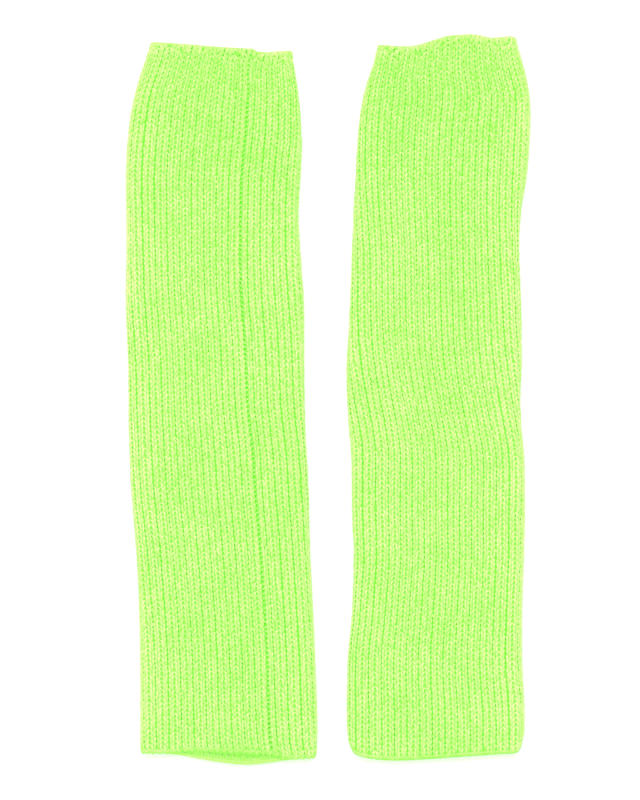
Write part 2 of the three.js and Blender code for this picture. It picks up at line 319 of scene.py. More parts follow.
KNIT = RibKnit()
OPENING = GrooveOpening()
UNEVEN = Unevenness()
FLAT = Flattening()
BAND = EdgeBand()
SEWING = Sewing()
TONE_AND_PAINTED_LIGHT = ToneAndPaintedLight()


class OutlineRow(NamedTuple):
    """The outline at one height.

    Attributes:
        y: The height along the leg.
        left: Its left edge.
        right: Its right edge.
    """

    y: float
    left: float
    right: float


class EdgeRow(NamedTuple):
    """The height of an open edge at one place.

    Attributes:
        across: The place, as a share of the width from the left.
        front: Height of the front layer's edge.
        back: Height of the back layer's edge.
    """

    across: float
    front: float
    back: float


class RibRow(NamedTuple):
    """Where the ribs lie at one height.

    Attributes:
        y: The height along the leg.
        groove: Distance of the first placed groove from the left fold.
        span: Width of the anchor ribs from there.
    """

    y: float
    groove: float
    span: float


class Swell(NamedTuple):
    """A soft rise or dip of the upper layer.

    Attributes:
        across: Its middle, as a share of the width from the left.
        y: Its middle's height along the leg.
        half_across: Its half width.
        half_along: Its half length.
        turn: How far it is turned anticlockwise, in degrees.
        rise: Its height, negative for a dip.
    """

    across: float
    y: float
    half_across: float
    half_along: float
    turn: float
    rise: float


class Pull(NamedTuple):
    """A groove that lies pulled open over a stretch below the upper edge.

    Attributes:
        groove: The groove's number.
        openness: How far it stands open there.
        starts: Distance below the edge where the pull starts.
        full_from: Distance where it is full.
        full_to: Distance where it starts to fade.
        ends: Distance where it has faded.
    """

    groove: int
    openness: float
    starts: float
    full_from: float
    full_to: float
    ends: float


def read_table(rows: tuple[NamedTuple, ...], key: str, value: str, at: np.ndarray) -> np.ndarray:
    """Reads a smooth curve through one column of a table.

    Args:
        rows: The rows, in order of the key column, up or down.
        key: Name of the key column.
        value: Name of the column to read.
        at: Places in the key column.

    Returns:
        The column's values at those places.
    """
    order = rows if getattr(rows[0], key) < getattr(rows[-1], key) else rows[::-1]
    keys = np.array([getattr(row, key) for row in order])
    values = np.array([getattr(row, value) for row in order])
    before = np.maximum(np.arange(len(keys)) - 1, 0)
    after = np.minimum(np.arange(len(keys)) + 1, len(keys) - 1)
    slopes = (values[after] - values[before]) / (keys[after] - keys[before])
    i = np.clip(np.searchsorted(keys, at, side="right") - 1, 0, len(keys) - 2)
    step = keys[i + 1] - keys[i]
    t = np.clip((at - keys[i]) / step, 0, 1)
    t2 = t * t
    t3 = t2 * t
    return (
        (2 * t3 - 3 * t2 + 1) * values[i]
        + (t3 - 2 * t2 + t) * step * slopes[i]
        + (3 * t2 - 2 * t3) * values[i + 1]
        + (t3 - t2) * step * slopes[i + 1]
    )


def smooth_step(start: float, stop: float, at: np.ndarray) -> np.ndarray:
    """Returns 0 at start and before it, 1 at stop and after it, smooth between."""
    t = np.clip((at - start) / (stop - start), 0, 1)
    return t * t * (3 - 2 * t)


def hump(distance: np.ndarray, half: float) -> np.ndarray:
    """Returns a bell of height 1 and the given half width."""
    return np.exp(-((distance / half) ** 2))


@dataclass(frozen=True)
class Section:
    """Measures of the tube's section at each of several levels.

    Attributes:
        left: Its left edge.
        right: Its right edge.
        quarter: Arc length of half a fold.
        flat: Width of one layer between the folds.
        round: Arc length all round.
    """

    left: np.ndarray
    right: np.ndarray
    quarter: np.ndarray
    flat: np.ndarray
    round: np.ndarray


@dataclass(frozen=True)
class Form:
    """The flattened tube's shape.

    A place on it is a pair: ribs counted round the tube from the first placed
    groove, the seam's single column being part of the count, and the level of
    a ring along the leg.

    Attributes:
        side: Which leg warmer this is.
        upper_y: Level of the upper edge's ring.
        lower_y: Level of the lower edge's ring.
        ribs_before_seam: Ribs from the anchor ribs on to the seam.
        wide_grooves: The grooves that stand wider open than the rest.
        pull: The groove that lies pulled open near the upper edge.
        scallop: How far every third loop stands out at the lower edge of the front.
        outline: Left and right edges.
        upper_edge: Heights of the upper edge.
        lower_edge: Heights of the lower edge.
        rib_path: Where the ribs run.
        swells: Soft rises and dips.
    """

    side: str
    upper_y: float
    lower_y: float
    ribs_before_seam: int
    wide_grooves: tuple[int, ...]
    pull: Pull
    scallop: float
    outline: tuple[OutlineRow, ...]
    upper_edge: tuple[EdgeRow, ...]
    lower_edge: tuple[EdgeRow, ...]
    rib_path: tuple[RibRow, ...]
    swells: tuple[Swell, ...]

    @property
    def seam_at(self) -> int:
        """Ribs from the first placed groove to the seam."""
        return KNIT.anchor_ribs + self.ribs_before_seam

    @property
    def whole(self) -> float:
        """Ribs all round, with the seam's column."""
        return KNIT.ribs + KNIT.seam_share

    def left(self, y: np.ndarray) -> np.ndarray:
        """Returns the left edge at height y."""
        return read_table(self.outline, "y", "left", y)

    def right(self, y: np.ndarray) -> np.ndarray:
        """Returns the right edge at height y."""
        return read_table(self.outline, "y", "right", y)

    def gap(self, x: np.ndarray, y: np.ndarray) -> np.ndarray:
        """Returns the clear height between the two layers.

        Args:
            x: Places across.
            y: Heights along the leg.

        Returns:
            The gap at each place.
        """
        left = self.left(y)
        right = self.right(y)
        from_fold = np.maximum(np.minimum(x - left, right - x), 0)
        inside = smooth_step(0, 2 * FLAT.fold_reach, from_fold)
        gap = FLAT.rest_gap + (FLAT.fold_gap - FLAT.rest_gap) * hump(from_fold, FLAT.fold_reach)
        for swell in self.swells:
            turn = math.radians(swell.turn)
            dx = x - (left + swell.across * (right - left))
            dy = y - swell.y
            across = (dx * math.cos(turn) + dy * math.sin(turn)) / swell.half_across
            along = (dy * math.cos(turn) - dx * math.sin(turn)) / swell.half_along
            gap = gap + inside * swell.rise * np.exp(-(across**2 + along**2))
        return np.maximum(gap, FLAT.least_gap)

    def top(self, x: np.ndarray, y: np.ndarray) -> np.ndarray:
        """Returns the height of the upper layer's crowns."""
        return 2 * KNIT.wall + self.gap(x, y)

    def slant(self, level: np.ndarray, x: np.ndarray, below: np.ndarray) -> np.ndarray:
        """Returns a point's height along the leg: a level ring, slanted near the edges.

        Args:
            level: The ring's level.
            x: The point's place across.
            below: Whether it is on the back layer.

        Returns:
            The y of each point.
        """
        left = self.left(level)
        across = np.clip((x - left) / (self.right(level) - left), 0, 1)
        near_upper = smooth_step(self.upper_y - BAND.reach, self.upper_y, level)
        near_lower = 1 - smooth_step(self.lower_y, self.lower_y + BAND.reach, level)
        upper = self.edge_height(self.upper_edge, across, below) - self.upper_y
        lower = self.edge_height(self.lower_edge, across, below) - self.lower_y
        return level + upper * near_upper + lower * near_lower

    @staticmethod
    def edge_height(rows: tuple[EdgeRow, ...], across: np.ndarray, below: np.ndarray) -> np.ndarray:
        """Returns the height of one open edge.

        Args:
            rows: The edge's table.
            across: Places as shares of the width.
            below: Whether each place is on the back layer.

        Returns:
            The y of the edge at each place.
        """
        front = read_table(rows, "across", "front", across)
        back = read_table(rows, "across", "back", across)
        return np.where(below, back, front)

    def section(self, level: np.ndarray) -> Section:
        """Returns the section's measures.

        Args:
            level: Levels along the leg.

        Returns:
            The measures at each level.
        """
        left = self.left(level)
        right = self.right(level)
        height = self.top(left + FLAT.fold_half, level)
        quarter = (math.pi / 2) * np.sqrt((FLAT.fold_half**2 + (height / 2) ** 2) / 2)
        flat = right - left - 2 * FLAT.fold_half
        return Section(left, right, quarter, flat, 2 * flat + 4 * quarter)

    def arc(self, section: Section, ribs: np.ndarray, level: np.ndarray) -> np.ndarray:
        """Returns the arc length from the left fold, over the upper layer, to a place.

        Args:
            section: The section's measures at the levels.
            ribs: Places round the tube.
            level: Levels along the leg.

        Returns:
            Arc lengths, from 0 up to the whole round.
        """
        turned = np.mod(ribs, self.whole)
        past_seam = np.clip((turned - self.seam_at) / KNIT.seam_share, 0, 1)
        full = turned - past_seam * KNIT.seam_share
        start = read_table(self.rib_path, "y", "groove", level) - FLAT.fold_half + section.quarter
        span = read_table(self.rib_path, "y", "span", level)
        others = KNIT.ribs - KNIT.anchor_ribs
        pitch = (section.round - span - KNIT.seam_wale) / others
        placed = np.minimum(full, KNIT.anchor_ribs) * span / KNIT.anchor_ribs
        rest = np.maximum(full - KNIT.anchor_ribs, 0) * pitch
        return np.mod(start + placed + rest + past_seam * KNIT.seam_wale, section.round)

    def openness(self, ribs: np.ndarray, level: np.ndarray) -> np.ndarray:
        """Returns how far the groove nearest to each place stands open, about 1.

        Args:
            ribs: Places round the tube.
            level: Levels along the leg.

        Returns:
            The share of the usual groove.
        """
        past_seam = ribs > self.seam_at + KNIT.seam_share / 2
        groove = np.round(ribs - np.where(past_seam, KNIT.seam_share, 0))
        number = np.mod(groove, KNIT.ribs)
        share = OPENING.usual + sum(wave.at(groove, level) for wave in OPENING.waves)
        share = share + OPENING.wide_by * np.isin(number, self.wide_grooves)
        share = share * (OPENING.drawn + (1 - OPENING.drawn) * self.undrawn(level))
        pull = self.pull
        down = self.upper_y - level
        strain = smooth_step(pull.starts, pull.full_from, down)
        strain = strain * (1 - smooth_step(pull.full_to, pull.ends, down))
        strain = np.where(number == pull.groove, strain, 0)
        return share + (pull.openness - share) * strain

    def undrawn(self, level: np.ndarray) -> np.ndarray:
        """Returns 0 where the upper edge draws the grooves shut and 1 clear of it."""
        return smooth_step(OPENING.closed_from, OPENING.open_from, self.upper_y - level)

    def relief(self, ribs: np.ndarray, level: np.ndarray) -> np.ndarray:
        """Returns how far the ribs' own shape lies below their crowns.

        Args:
            ribs: Places round the tube.
            level: Levels along the leg.

        Returns:
            The depth at each place.
        """
        turned = np.mod(ribs, self.whole)
        from_seam = turned - self.seam_at
        within = (from_seam > 0) & (from_seam < KNIT.seam_share)
        beyond = from_seam >= KNIT.seam_share
        full = np.where(beyond, turned - KNIT.seam_share, turned)
        part = np.mod(full, 1)
        side = np.minimum(part, 1 - part)
        side = np.where(within, np.minimum(from_seam, KNIT.seam_share - from_seam), side)
        dip = np.where(within, 0, KNIT.wale_dip * hump(part - 0.5, KNIT.wale_dip_half))
        seam = (KNIT.groove + KNIT.seam_sink) * hump(from_seam, KNIT.groove_half)
        seam = seam * (KNIT.seam_closed + (1 - KNIT.seam_closed) * self.undrawn(level))
        groove = KNIT.groove * hump(side, KNIT.groove_half)
        groove = groove * (KNIT.shut_depth + KNIT.open_depth * self.openness(turned, level))
        return np.maximum(groove, seam) + dip

    def pallor(self, points: np.ndarray) -> np.ndarray:
        """Returns how much paler than usual the yarn is: a painted highlight along the outer fold and
        painted shade along the middle and towards the upper edge.

        Args:
            points: Points on the cloth, one a row.

        Returns:
            Its paleness at each point.
        """
        x = points[:, 0]
        y = points[:, 1]
        left = self.left(y)
        right = self.right(y)
        from_outer = x - left if self.side == "left" else right - x
        from_middle = x - (left + right) / 2
        # Painted highlight along the outer fold, painted shade along the middle and towards the upper edge.
        pale = TONE_AND_PAINTED_LIGHT.fold * hump(from_outer, TONE_AND_PAINTED_LIGHT.fold_reach)
        pale = pale - TONE_AND_PAINTED_LIGHT.middle * hump(from_middle, TONE_AND_PAINTED_LIGHT.middle_reach)
        return pale - TONE_AND_PAINTED_LIGHT.upper * smooth_step(TONE_AND_PAINTED_LIGHT.upper_from, self.upper_y, y)

    def edge_share(self, level: np.ndarray) -> np.ndarray:
        """Returns 1 at an edge, falling to 0 where its band ends."""
        inside = np.minimum(self.upper_y - level, level - self.lower_y)
        return 1 - smooth_step(0, BAND.height, inside)

    def below(self, ribs: np.ndarray, level: np.ndarray) -> np.ndarray:
        """Returns whether each place is on the back layer."""
        section = self.section(level)
        return self.arc(section, ribs, level) > section.round / 2

    def skin(self, ribs: np.ndarray, level: np.ndarray, depth: float) -> np.ndarray:
        """Returns points a depth below the crowns of the ribbed outside.

        Args:
            ribs: Places round the tube.
            level: Levels along the leg.
            depth: How far below the ribbed outside the points lie.

        Returns:
            An array of points, one a row.
        """
        section = self.section(level)
        a = self.arc(section, ribs, level)
        half = section.round / 2
        below = a > half
        from_left = np.where(below, section.round - a, a)
        on_left = from_left < section.quarter
        on_right = from_left > section.quarter + section.flat
        on_fold = on_left | on_right
        reach = np.where(on_left, from_left, half - from_left)
        turn = np.where(on_fold, (math.pi / 2) * reach / section.quarter, math.pi / 2)
        out_x = np.where(on_fold, np.cos(turn) * np.where(on_left, -1, 1), 0)
        out_z = np.sin(turn) * np.where(below, -1, 1)
        middle = section.left + FLAT.fold_half + from_left - section.quarter
        fold = np.where(on_left, section.left + FLAT.fold_half, section.right - FLAT.fold_half)
        x = np.where(on_fold, fold + out_x * FLAT.fold_half, middle)
        lift = (1 + out_z) / 2
        shown = np.where(below, smooth_step(0, FLAT.pressed_share, lift), 1)
        edge = self.edge_share(level)
        relief = self.relief(ribs, level) * (FLAT.under_relief + (1 - FLAT.under_relief) * shown)
        relief = relief * (1 - (1 - BAND.rib_share) * edge)
        sunk = relief + BAND.thinning * edge * np.where(below, 0, 1) * shown + depth
        y = self.slant(level, x, below)
        inner_x = np.clip(x, section.left + FLAT.fold_half, section.right - FLAT.fold_half)
        height = self.top(inner_x, y)
        return np.column_stack([x - out_x * sunk, y, lift * height - out_z * sunk])

    def lining(self, share: np.ndarray, level: np.ndarray, below: np.ndarray) -> np.ndarray:
        """Returns points on the plain inside.

        Args:
            share: Place across the clear inside, 0 at the left and 1 at the right.
            level: Levels along the leg.
            below: Whether each point is on the back layer.

        Returns:
            An array of points, one a row.
        """
        left = self.left(level) + FLAT.fold_half
        right = self.right(level) - FLAT.fold_half
        x = left + share * (right - left)
        y = self.slant(level, x, below)
        gap = self.gap(x, y)
        from_fold = 1 - np.abs(2 * share - 1)
        closing = np.clip(1 - from_fold / FLAT.lining_close, 0, 1)
        rounding = np.sqrt(1 - closing**2)
        middle = KNIT.wall + gap / 2
        return np.column_stack([x, y, middle + rounding * np.where(below, -1, 1) * gap / 2])


LEFT_FORM = Form(
    side="left",
    upper_y=198,
    lower_y=-200,
    ribs_before_seam=0,
    wide_grooves=(0, 9, 10, 11),
    pull=Pull(0, 1.4, -15, 25, 70, 150),
    scallop=0.8,
    outline=(
        OutlineRow(203, -98.7, -21.0),
        OutlineRow(194.5, -101.2, -19.9),
        OutlineRow(186.5, -103.6, -18.6),
        OutlineRow(176.5, -107.0, -16.9),
        OutlineRow(162, -110.7, -15.4),
        OutlineRow(145, -113.1, -14.7),
        OutlineRow(126, -114.0, -15.6),
        OutlineRow(105, -113.8, -16.7),
        OutlineRow(81, -113.7, -15.5),
        OutlineRow(55, -114.0, -13.8),
        OutlineRow(20, -113.0, -13.3),
        OutlineRow(-15, -112.6, -12.6),
        OutlineRow(-50, -111.4, -10.9),
        OutlineRow(-75, -109.2, -10.6),
        OutlineRow(-100, -107.4, -9.5),
        OutlineRow(-140, -105.9, -7.6),
        OutlineRow(-180, -105.8, -6.3),
        OutlineRow(-206, -106.0, -6.7),
    ),
    upper_edge=(
        EdgeRow(0, 201.7, 201.7),
        EdgeRow(0.12, 201.3, 200.8),
        EdgeRow(0.26, 200.5, 199.7),
        EdgeRow(0.5, 198.9, 198.1),
        EdgeRow(0.7, 198.0, 196.7),
        EdgeRow(0.735, 197.5, 196.6),
        EdgeRow(0.75, 195.0, 196.5),
        EdgeRow(0.78, 194.8, 196.4),
        EdgeRow(0.83, 195.9, 196.1),
        EdgeRow(0.95, 196.7, 196.4),
        EdgeRow(1, 197.0, 197.0),
    ),
    lower_edge=(
        EdgeRow(0, -199.0, -199.0),
        EdgeRow(0.1, -199.1, -199.2),
        EdgeRow(0.19, -198.9, -199.8),
        EdgeRow(0.26, -197.8, -200.8),
        EdgeRow(0.34, -197.8, -202.4),
        EdgeRow(0.47, -198.3, -204.5),
        EdgeRow(0.6, -199.1, -205.7),
        EdgeRow(0.69, -199.6, -205.0),
        EdgeRow(0.77, -200.2, -203.9),
        EdgeRow(0.84, -202.2, -203.0),
        EdgeRow(1, -201.6, -201.6),
    ),
    rib_path=(
        RibRow(203, 8.3, 50.0),
        RibRow(190, 9.3, 48.5),
        RibRow(180, 9.3, 51.5),
        RibRow(170, 8.7, 55.0),
        RibRow(150, 9.3, 56.8),
        RibRow(120, 9.0, 56.0),
        RibRow(80, 9.6, 54.6),
        RibRow(40, 11.5, 54.6),
        RibRow(0, 12.4, 54.8),
        RibRow(-35, 13.0, 57.0),
        RibRow(-100, 14.0, 56.2),
        RibRow(-140, 15.3, 55.8),
        RibRow(-190, 16.4, 56.6),
        RibRow(-206, 16.6, 60.0),
    ),
    swells=(
        Swell(0.5, -204, 27, 30, 0, 2.5),
        Swell(0.2, 152, 17, 15, 10, 1.0),
        Swell(0.86, 158, 11, 18, -20, 1.2),
        Swell(0.3, 84, 24, 18, 15, 0.8),
        Swell(0.82, 32, 12, 24, 0, 1.0),
        Swell(0.55, 6, 12, 26, 10, 0.7),
        Swell(0.84, -22, 13, 7, 12, -0.6),
        Swell(0.87, -92, 10, 38, 4, 1.1),
        Swell(0.22, -66, 20, 24, -12, 0.8),
        Swell(0.35, -142, 24, 22, 8, 0.7),
    ),
)

RIGHT_FORM = Form(
    side="right",
    upper_y=201,
    lower_y=-199,
    ribs_before_seam=10,
    wide_grooves=(10, 26, 27),
    pull=Pull(12, 1.1, 8, 30, 55, 90),
    scallop=0,
    outline=(
        OutlineRow(206, 28.6, 104.8),
        OutlineRow(194.5, 26.7, 107.2),
        OutlineRow(186.5, 24.4, 109.6),
        OutlineRow(176.5, 21.2, 112.3),
        OutlineRow(162, 18.1, 114.0),
        OutlineRow(145, 16.3, 113.5),
        OutlineRow(126, 15.2, 111.8),
        OutlineRow(105, 14.4, 108.9),
        OutlineRow(81, 13.4, 107.9),
        OutlineRow(55, 12.1, 108.7),
        OutlineRow(20, 10.5, 109.1),
        OutlineRow(-10, 11.1, 108.6),
        OutlineRow(-30, 12.8, 110.3),
        OutlineRow(-60, 13.2, 110.9),
        OutlineRow(-90, 14.2, 110.2),
        OutlineRow(-120, 13.2, 109.3),
        OutlineRow(-145, 11.0, 109.3),
        OutlineRow(-175, 10.3, 110.4),
        OutlineRow(-190, 10.4, 110.7),
        OutlineRow(-206, 11.2, 110.2),
    ),
    upper_edge=(
        EdgeRow(0, 200.3, 200.3),
        EdgeRow(0.2, 199.3, 199.3),
        EdgeRow(0.29, 199.9, 199.6),
        EdgeRow(0.37, 201.8, 200.0),
        EdgeRow(0.5, 204.8, 201.6),
        EdgeRow(0.62, 205.8, 202.8),
        EdgeRow(0.72, 205.6, 203.3),
        EdgeRow(0.8, 204.3, 203.2),
        EdgeRow(0.86, 204.2, 203.2),
        EdgeRow(0.95, 205.0, 204.6),
        EdgeRow(1, 204.7, 204.7),
    ),
    lower_edge=(
        EdgeRow(0, -190.5, -190.5),
        EdgeRow(0.01, -194.4, -194.4),
        EdgeRow(0.03, -198.0, -198.0),
        EdgeRow(0.065, -200.3, -200.5),
        EdgeRow(0.13, -202.0, -202.3),
        EdgeRow(0.22, -202.7, -203.3),
        EdgeRow(0.31, -202.8, -203.4),
        EdgeRow(0.4, -202.5, -202.9),
        EdgeRow(0.49, -202.1, -202.3),
        EdgeRow(0.675, -200.8, -200.8),
        EdgeRow(0.857, -199.5, -199.5),
        EdgeRow(0.947, -198.9, -198.9),
        EdgeRow(0.975, -197.4, -197.4),
        EdgeRow(0.991, -194.4, -194.4),
        EdgeRow(1, -190.0, -190.0),
    ),
    rib_path=(
        RibRow(206, 0.5, 47.0),
        RibRow(186, 1.4, 50.7),
        RibRow(169, 3.1, 56.0),
        RibRow(150, 4.3, 55.7),
        RibRow(118, 6.5, 54.0),
        RibRow(84, 10.0, 52.4),
        RibRow(50, 12.1, 52.9),
        RibRow(30, 14.2, 52.6),
        RibRow(5, 18.0, 52.2),
        RibRow(-17, 21.0, 52.4),
        RibRow(-40, 21.0, 53.6),
        RibRow(-84, 20.3, 53.0),
        RibRow(-118, 19.0, 54.0),
        RibRow(-150, 19.2, 55.5),
        RibRow(-175, 20.0, 56.8),
        RibRow(-190, 19.9, 57.0),
        RibRow(-206, 19.1, 57.0),
    ),
    swells=(
        Swell(0.56, 205, 23, 38, 0, 2.8),
        Swell(0.38, 105, 6, 52, 0, -0.6),
        Swell(0.8, 128, 14, 24, 8, 0.9),
        Swell(0.72, 22, 20, 20, 12, 1.5),
        Swell(0.8, -33, 18, 7, -14, -0.7),
        Swell(0.27, -18, 17, 6, -4, -0.7),
        Swell(0.22, 12, 15, 14, 0, 0.8),
        Swell(0.72, -68, 20, 18, -14, 0.8),
        Swell(0.2, -120, 14, 26, 10, 0.9),
        Swell(0.6, -138, 24, 16, 6, 0.7),
    ),
)


# Nodes and finishes


class NodeBook:
    """Adds nodes to one node tree."""

    def __init__(self, tree: bpy.types.NodeTree) -> None:
        """Keeps the tree and empties it."""
        self.tree = tree
        tree.nodes.clear()

    def add(self, kind: str, settings: dict | None = None, inputs: dict | None = None) -> bpy.types.Node:
        """Adds one node.

        Args:
            kind: The node's type.
            settings: The node's own properties, which are set first.
            inputs: Values or sockets for its inputs, by name or number.

        Returns:
            The new node.
        """
        node = self.tree.nodes.new(kind)
        for key, value in (settings or {}).items():
            setattr(node, key, value)
        for key, value in (inputs or {}).items():
            source = value.socket if isinstance(value, Scalar) else value
            if isinstance(source, bpy.types.NodeSocket):
                self.tree.links.new(source, node.inputs[key])
            else:
                node.inputs[key].default_value = source
        return node

    def value(
        self, kind: str, output: str, settings: dict | None = None, inputs: dict | None = None
    ) -> "Scalar":
        """Adds one node and returns one of its outputs as a value to reckon with."""
        return Scalar(self, self.add(kind, settings, inputs).outputs[output])


class Scalar:
    """A number socket that Python's arithmetic works on."""

    def __init__(self, book: NodeBook, socket: bpy.types.NodeSocket) -> None:
        """Wraps a socket of the book's tree."""
        self.book = book
        self.socket = socket

    def math(self, operation: str, *values: "Scalar | float", clamp: bool = False) -> "Scalar":
        """Adds a Math node.

        Args:
            operation: What it does.
            values: Its inputs, in order.
            clamp: Whether its value is held between 0 and 1.

        Returns:
            Its value.
        """
        inputs = dict(enumerate(values))
        settings = {"operation": operation, "use_clamp": clamp}
        return self.book.value("ShaderNodeMath", "Value", settings, inputs)

    def __add__(self, other: "Scalar | float") -> "Scalar":
        """Returns self + other."""
        return self.math("ADD", self, other)

    def __sub__(self, other: "Scalar | float") -> "Scalar":
        """Returns self - other."""
        return self.math("SUBTRACT", self, other)

    def __rsub__(self, other: float) -> "Scalar":
        """Returns other - self."""
        return self.math("SUBTRACT", other, self)

    def __mul__(self, other: "Scalar | float") -> "Scalar":
        """Returns self * other."""
        return self.math("MULTIPLY", self, other)

    def sine(self) -> "Scalar":
        """Returns the sine of the value."""
        return self.math("SINE", self)

    def clamped(self) -> "Scalar":
        """Returns the value held between 0 and 1."""
        return self.math("ADD", self, 0.0, clamp=True)

    __radd__ = __add__
    __rmul__ = __mul__


@dataclass(frozen=True)
class YarnFinish:
    """Soft fluorescent acrylic yarn.

    Attributes:
        name: The material's name.
        deep: The deepest colour of the yarn, which carries its painted shade and its random darker stitches.
        pale: The palest colour of the yarn, which carries its painted light and its random paler stitches.
        middle: Where between the two the yarn's usual colour lies.
        tone_spread: How much one stitch differs from the next.
        head_tone: How much paler a stitch's head is than its middle, and how much deeper its lower end: a
            painted highlight and painted shade.
        glow: Strength of the emission, a painted glow that stands in for the yarn's fluorescence and lifts
            its shade.
        glow_colour: Its colour.
        sheen: Weight of the fuzz's sheen.
        sheen_roughness: How widely the sheen spreads.
        sheen_tint: The sheen's colour.
        roughness: The yarn's roughness.
        gloss: The yarn's specular level.
        fibre_size: Width of a fibre's mark.
        fibre_tone: How much a fibre's mark changes the tone.
        patch_size: Width of the large, faint patches.
        patch_tone: How much a patch changes the tone.
        plies: Plies round the yarn, 0 where the surface has no yarn coordinates.
        twist: Turns of the plies along one stitch.
        ply_height: Height of a ply beside a fibre's.
        ply_tone: How much a ply changes the tone.
        bump: Strength of the fibres and plies in the light.
        bump_depth: Their depth.
    """

    name: str
    deep: Colour = (0.21, 0.73, 0.04)
    pale: Colour = (0.65, 0.83, 0.33)
    middle: float = 0.49
    tone_spread: float = 0.28
    head_tone: float = 0.35
    glow: float = 0.1
    glow_colour: Colour = (0.35, 1.0, 0.06)
    sheen: float = 0.3
    sheen_roughness: float = 0.5
    sheen_tint: Colour = (0.9, 1.0, 0.6)
    roughness: float = 0.95
    gloss: float = 0.25
    fibre_size: float = 0.35
    fibre_tone: float = 0.5
    patch_size: float = 28.0
    patch_tone: float = 0.3
    plies: float = 2.0
    twist: float = 1.5
    ply_height: float = 0.35
    ply_tone: float = 0.08
    bump: float = 0.35
    bump_depth: float = 0.4

    @staticmethod
    def marks(book: NodeBook, size: float) -> Scalar:
        """Adds soft random marks that stand still on the cloth.

        Args:
            book: The material's nodes.
            size: Width of a mark in millimetres.

        Returns:
            Their strength, about 0.5.
        """
        place = book.add("ShaderNodeTexCoord").outputs["Object"]
        inputs = {"Vector": place, "Scale": 1 / (size * MM), "Detail": 2.0}
        return book.value("ShaderNodeTexNoise", "Fac", inputs=inputs)

    def material(self) -> bpy.types.Material:
        """Builds the material.

        Returns:
            The material.
        """
        material = bpy.data.materials.new(self.name)
        material.use_nodes = True
        book = NodeBook(material.node_tree)
        fibres = self.marks(book, self.fibre_size)
        patches = self.marks(book, self.patch_size)
        tone = book.value("ShaderNodeAttribute", "Fac", {"attribute_name": "tone"})
        share = self.middle + (tone - 0.5) * self.tone_spread
        share = share + (fibres - 0.5) * self.fibre_tone + (patches - 0.5) * self.patch_tone
        height = fibres
        if self.plies:
            yarn = book.add("ShaderNodeUVMap", {"uv_map": "yarn"}).outputs["UV"]
            split = book.add("ShaderNodeSeparateXYZ", inputs={"Vector": yarn})
            around = Scalar(book, split.outputs["X"])
            run = Scalar(book, split.outputs["Y"])
            strands = (2 * math.pi * (around * self.plies + run * self.twist)).sine()
            height = fibres + strands * self.ply_height
            # Painted highlight on each stitch's head and painted shade at its lower end, by its place along
            # the stitch.
            share = share + strands * self.ply_tone + run * self.head_tone
        # The mix runs from the deep colour, which carries the painted shade, to the pale one, which carries
        # the painted light, besides random tone.
        colour = book.add(
            "ShaderNodeMix",
            {"data_type": "RGBA"},
            {"Factor": share.clamped(), 6: (*self.deep, 1), 7: (*self.pale, 1)},
        )
        relief = book.add(
            "ShaderNodeBump",
            inputs={"Strength": self.bump, "Distance": self.bump_depth * MM, "Height": height},
        )
        shader = book.add(
            "ShaderNodeBsdfPrincipled",
            inputs={
                "Base Color": colour.outputs[2],
                "Roughness": self.roughness,
                "Specular IOR Level": self.gloss,
                "Sheen Weight": self.sheen,
                "Sheen Roughness": self.sheen_roughness,
                "Sheen Tint": (*self.sheen_tint, 1),
                # Painted glow: the emission stands in for the fluorescence and lifts the yarn's shade.
                "Emission Color": (*self.glow_colour, 1),
                "Emission Strength": self.glow,
                "Normal": relief.outputs["Normal"],
            },
        )
        book.add("ShaderNodeOutputMaterial", inputs={"Surface": shader.outputs["BSDF"]})
        return material


@dataclass(frozen=True)
class PaperFinish:
    """The plain white paper that the pair lies on.

    Attributes:
        name: The material's name.
        colour: The paper's colour.
        roughness: Its roughness.
        gloss: Its specular level.
    """

    name: str = "white_paper"
    colour: Colour = (0.93, 0.93, 0.93)
    roughness: float = 0.9
    gloss: float = 0.2

    def material(self) -> bpy.types.Material:
        """Builds the material.

        Returns:
            The material.
        """
        material = bpy.data.materials.new(self.name)
        material.use_nodes = True
        book = NodeBook(material.node_tree)
        shader = book.add(
            "ShaderNodeBsdfPrincipled",
            inputs={
                "Base Color": (*self.colour, 1),
                "Roughness": self.roughness,
                "Specular IOR Level": self.gloss,
            },
        )
        book.add("ShaderNodeOutputMaterial", inputs={"Surface": shader.outputs["BSDF"]})
        return material


YARN = YarnFinish("fluorescent_yarn")
# The shell's yarn: a deeper, more saturated copy of the yarn with a stronger glow, painted shade for the
# cloth seen between the stitches.
SHADED_GROUND = YarnFinish(
    "fluorescent_yarn_ground",
    deep=(0.14, 0.78, 0.03),
    pale=(0.5, 0.87, 0.2),
    tone_spread=1.0,
    glow=0.25,
    sheen=0.1,
    plies=0.0,
)


# Stitches


class Hand(Enum):
    """Which way a yarn leg's upper end hooks over."""

    FALLING = -1
    UPRIGHT = 0
    RISING = 1


class LegColumn(NamedTuple):
    """A column of yarn legs.

    Attributes:
        place: Its place across a rib, from 0 to 1.
        hand: The hook of its legs.
        lean: How far they lean clockwise, in degrees.
        girth: Their thickness.
        pallor: How much paler than usual they are: painted light on the columns on a rib's crown, painted
            shade on those beside a groove.
    """

    place: float
    hand: Hand
    lean: float
    girth: float
    pallor: float


# Pallor by column: painted light on the two columns on a rib's crown, painted shade on those beside a groove
# or the seam.
RIB_LEGS = (
    LegColumn(0.14, Hand.UPRIGHT, -7.0, 0.84, -0.2),
    LegColumn(0.37, Hand.RISING, 0.0, 0.88, 0.25),
    LegColumn(0.63, Hand.FALLING, 0.0, 0.88, 0.25),
    LegColumn(0.86, Hand.UPRIGHT, 7.0, 0.84, -0.2),
)
SEAM_LEGS = (
    LegColumn(0.34, Hand.UPRIGHT, -6.0, 0.85, 0.0),
    LegColumn(0.76, Hand.UPRIGHT, 7.0, 0.84, -0.2),
)
LEG_WIDTH = 1 / len(RIB_LEGS)


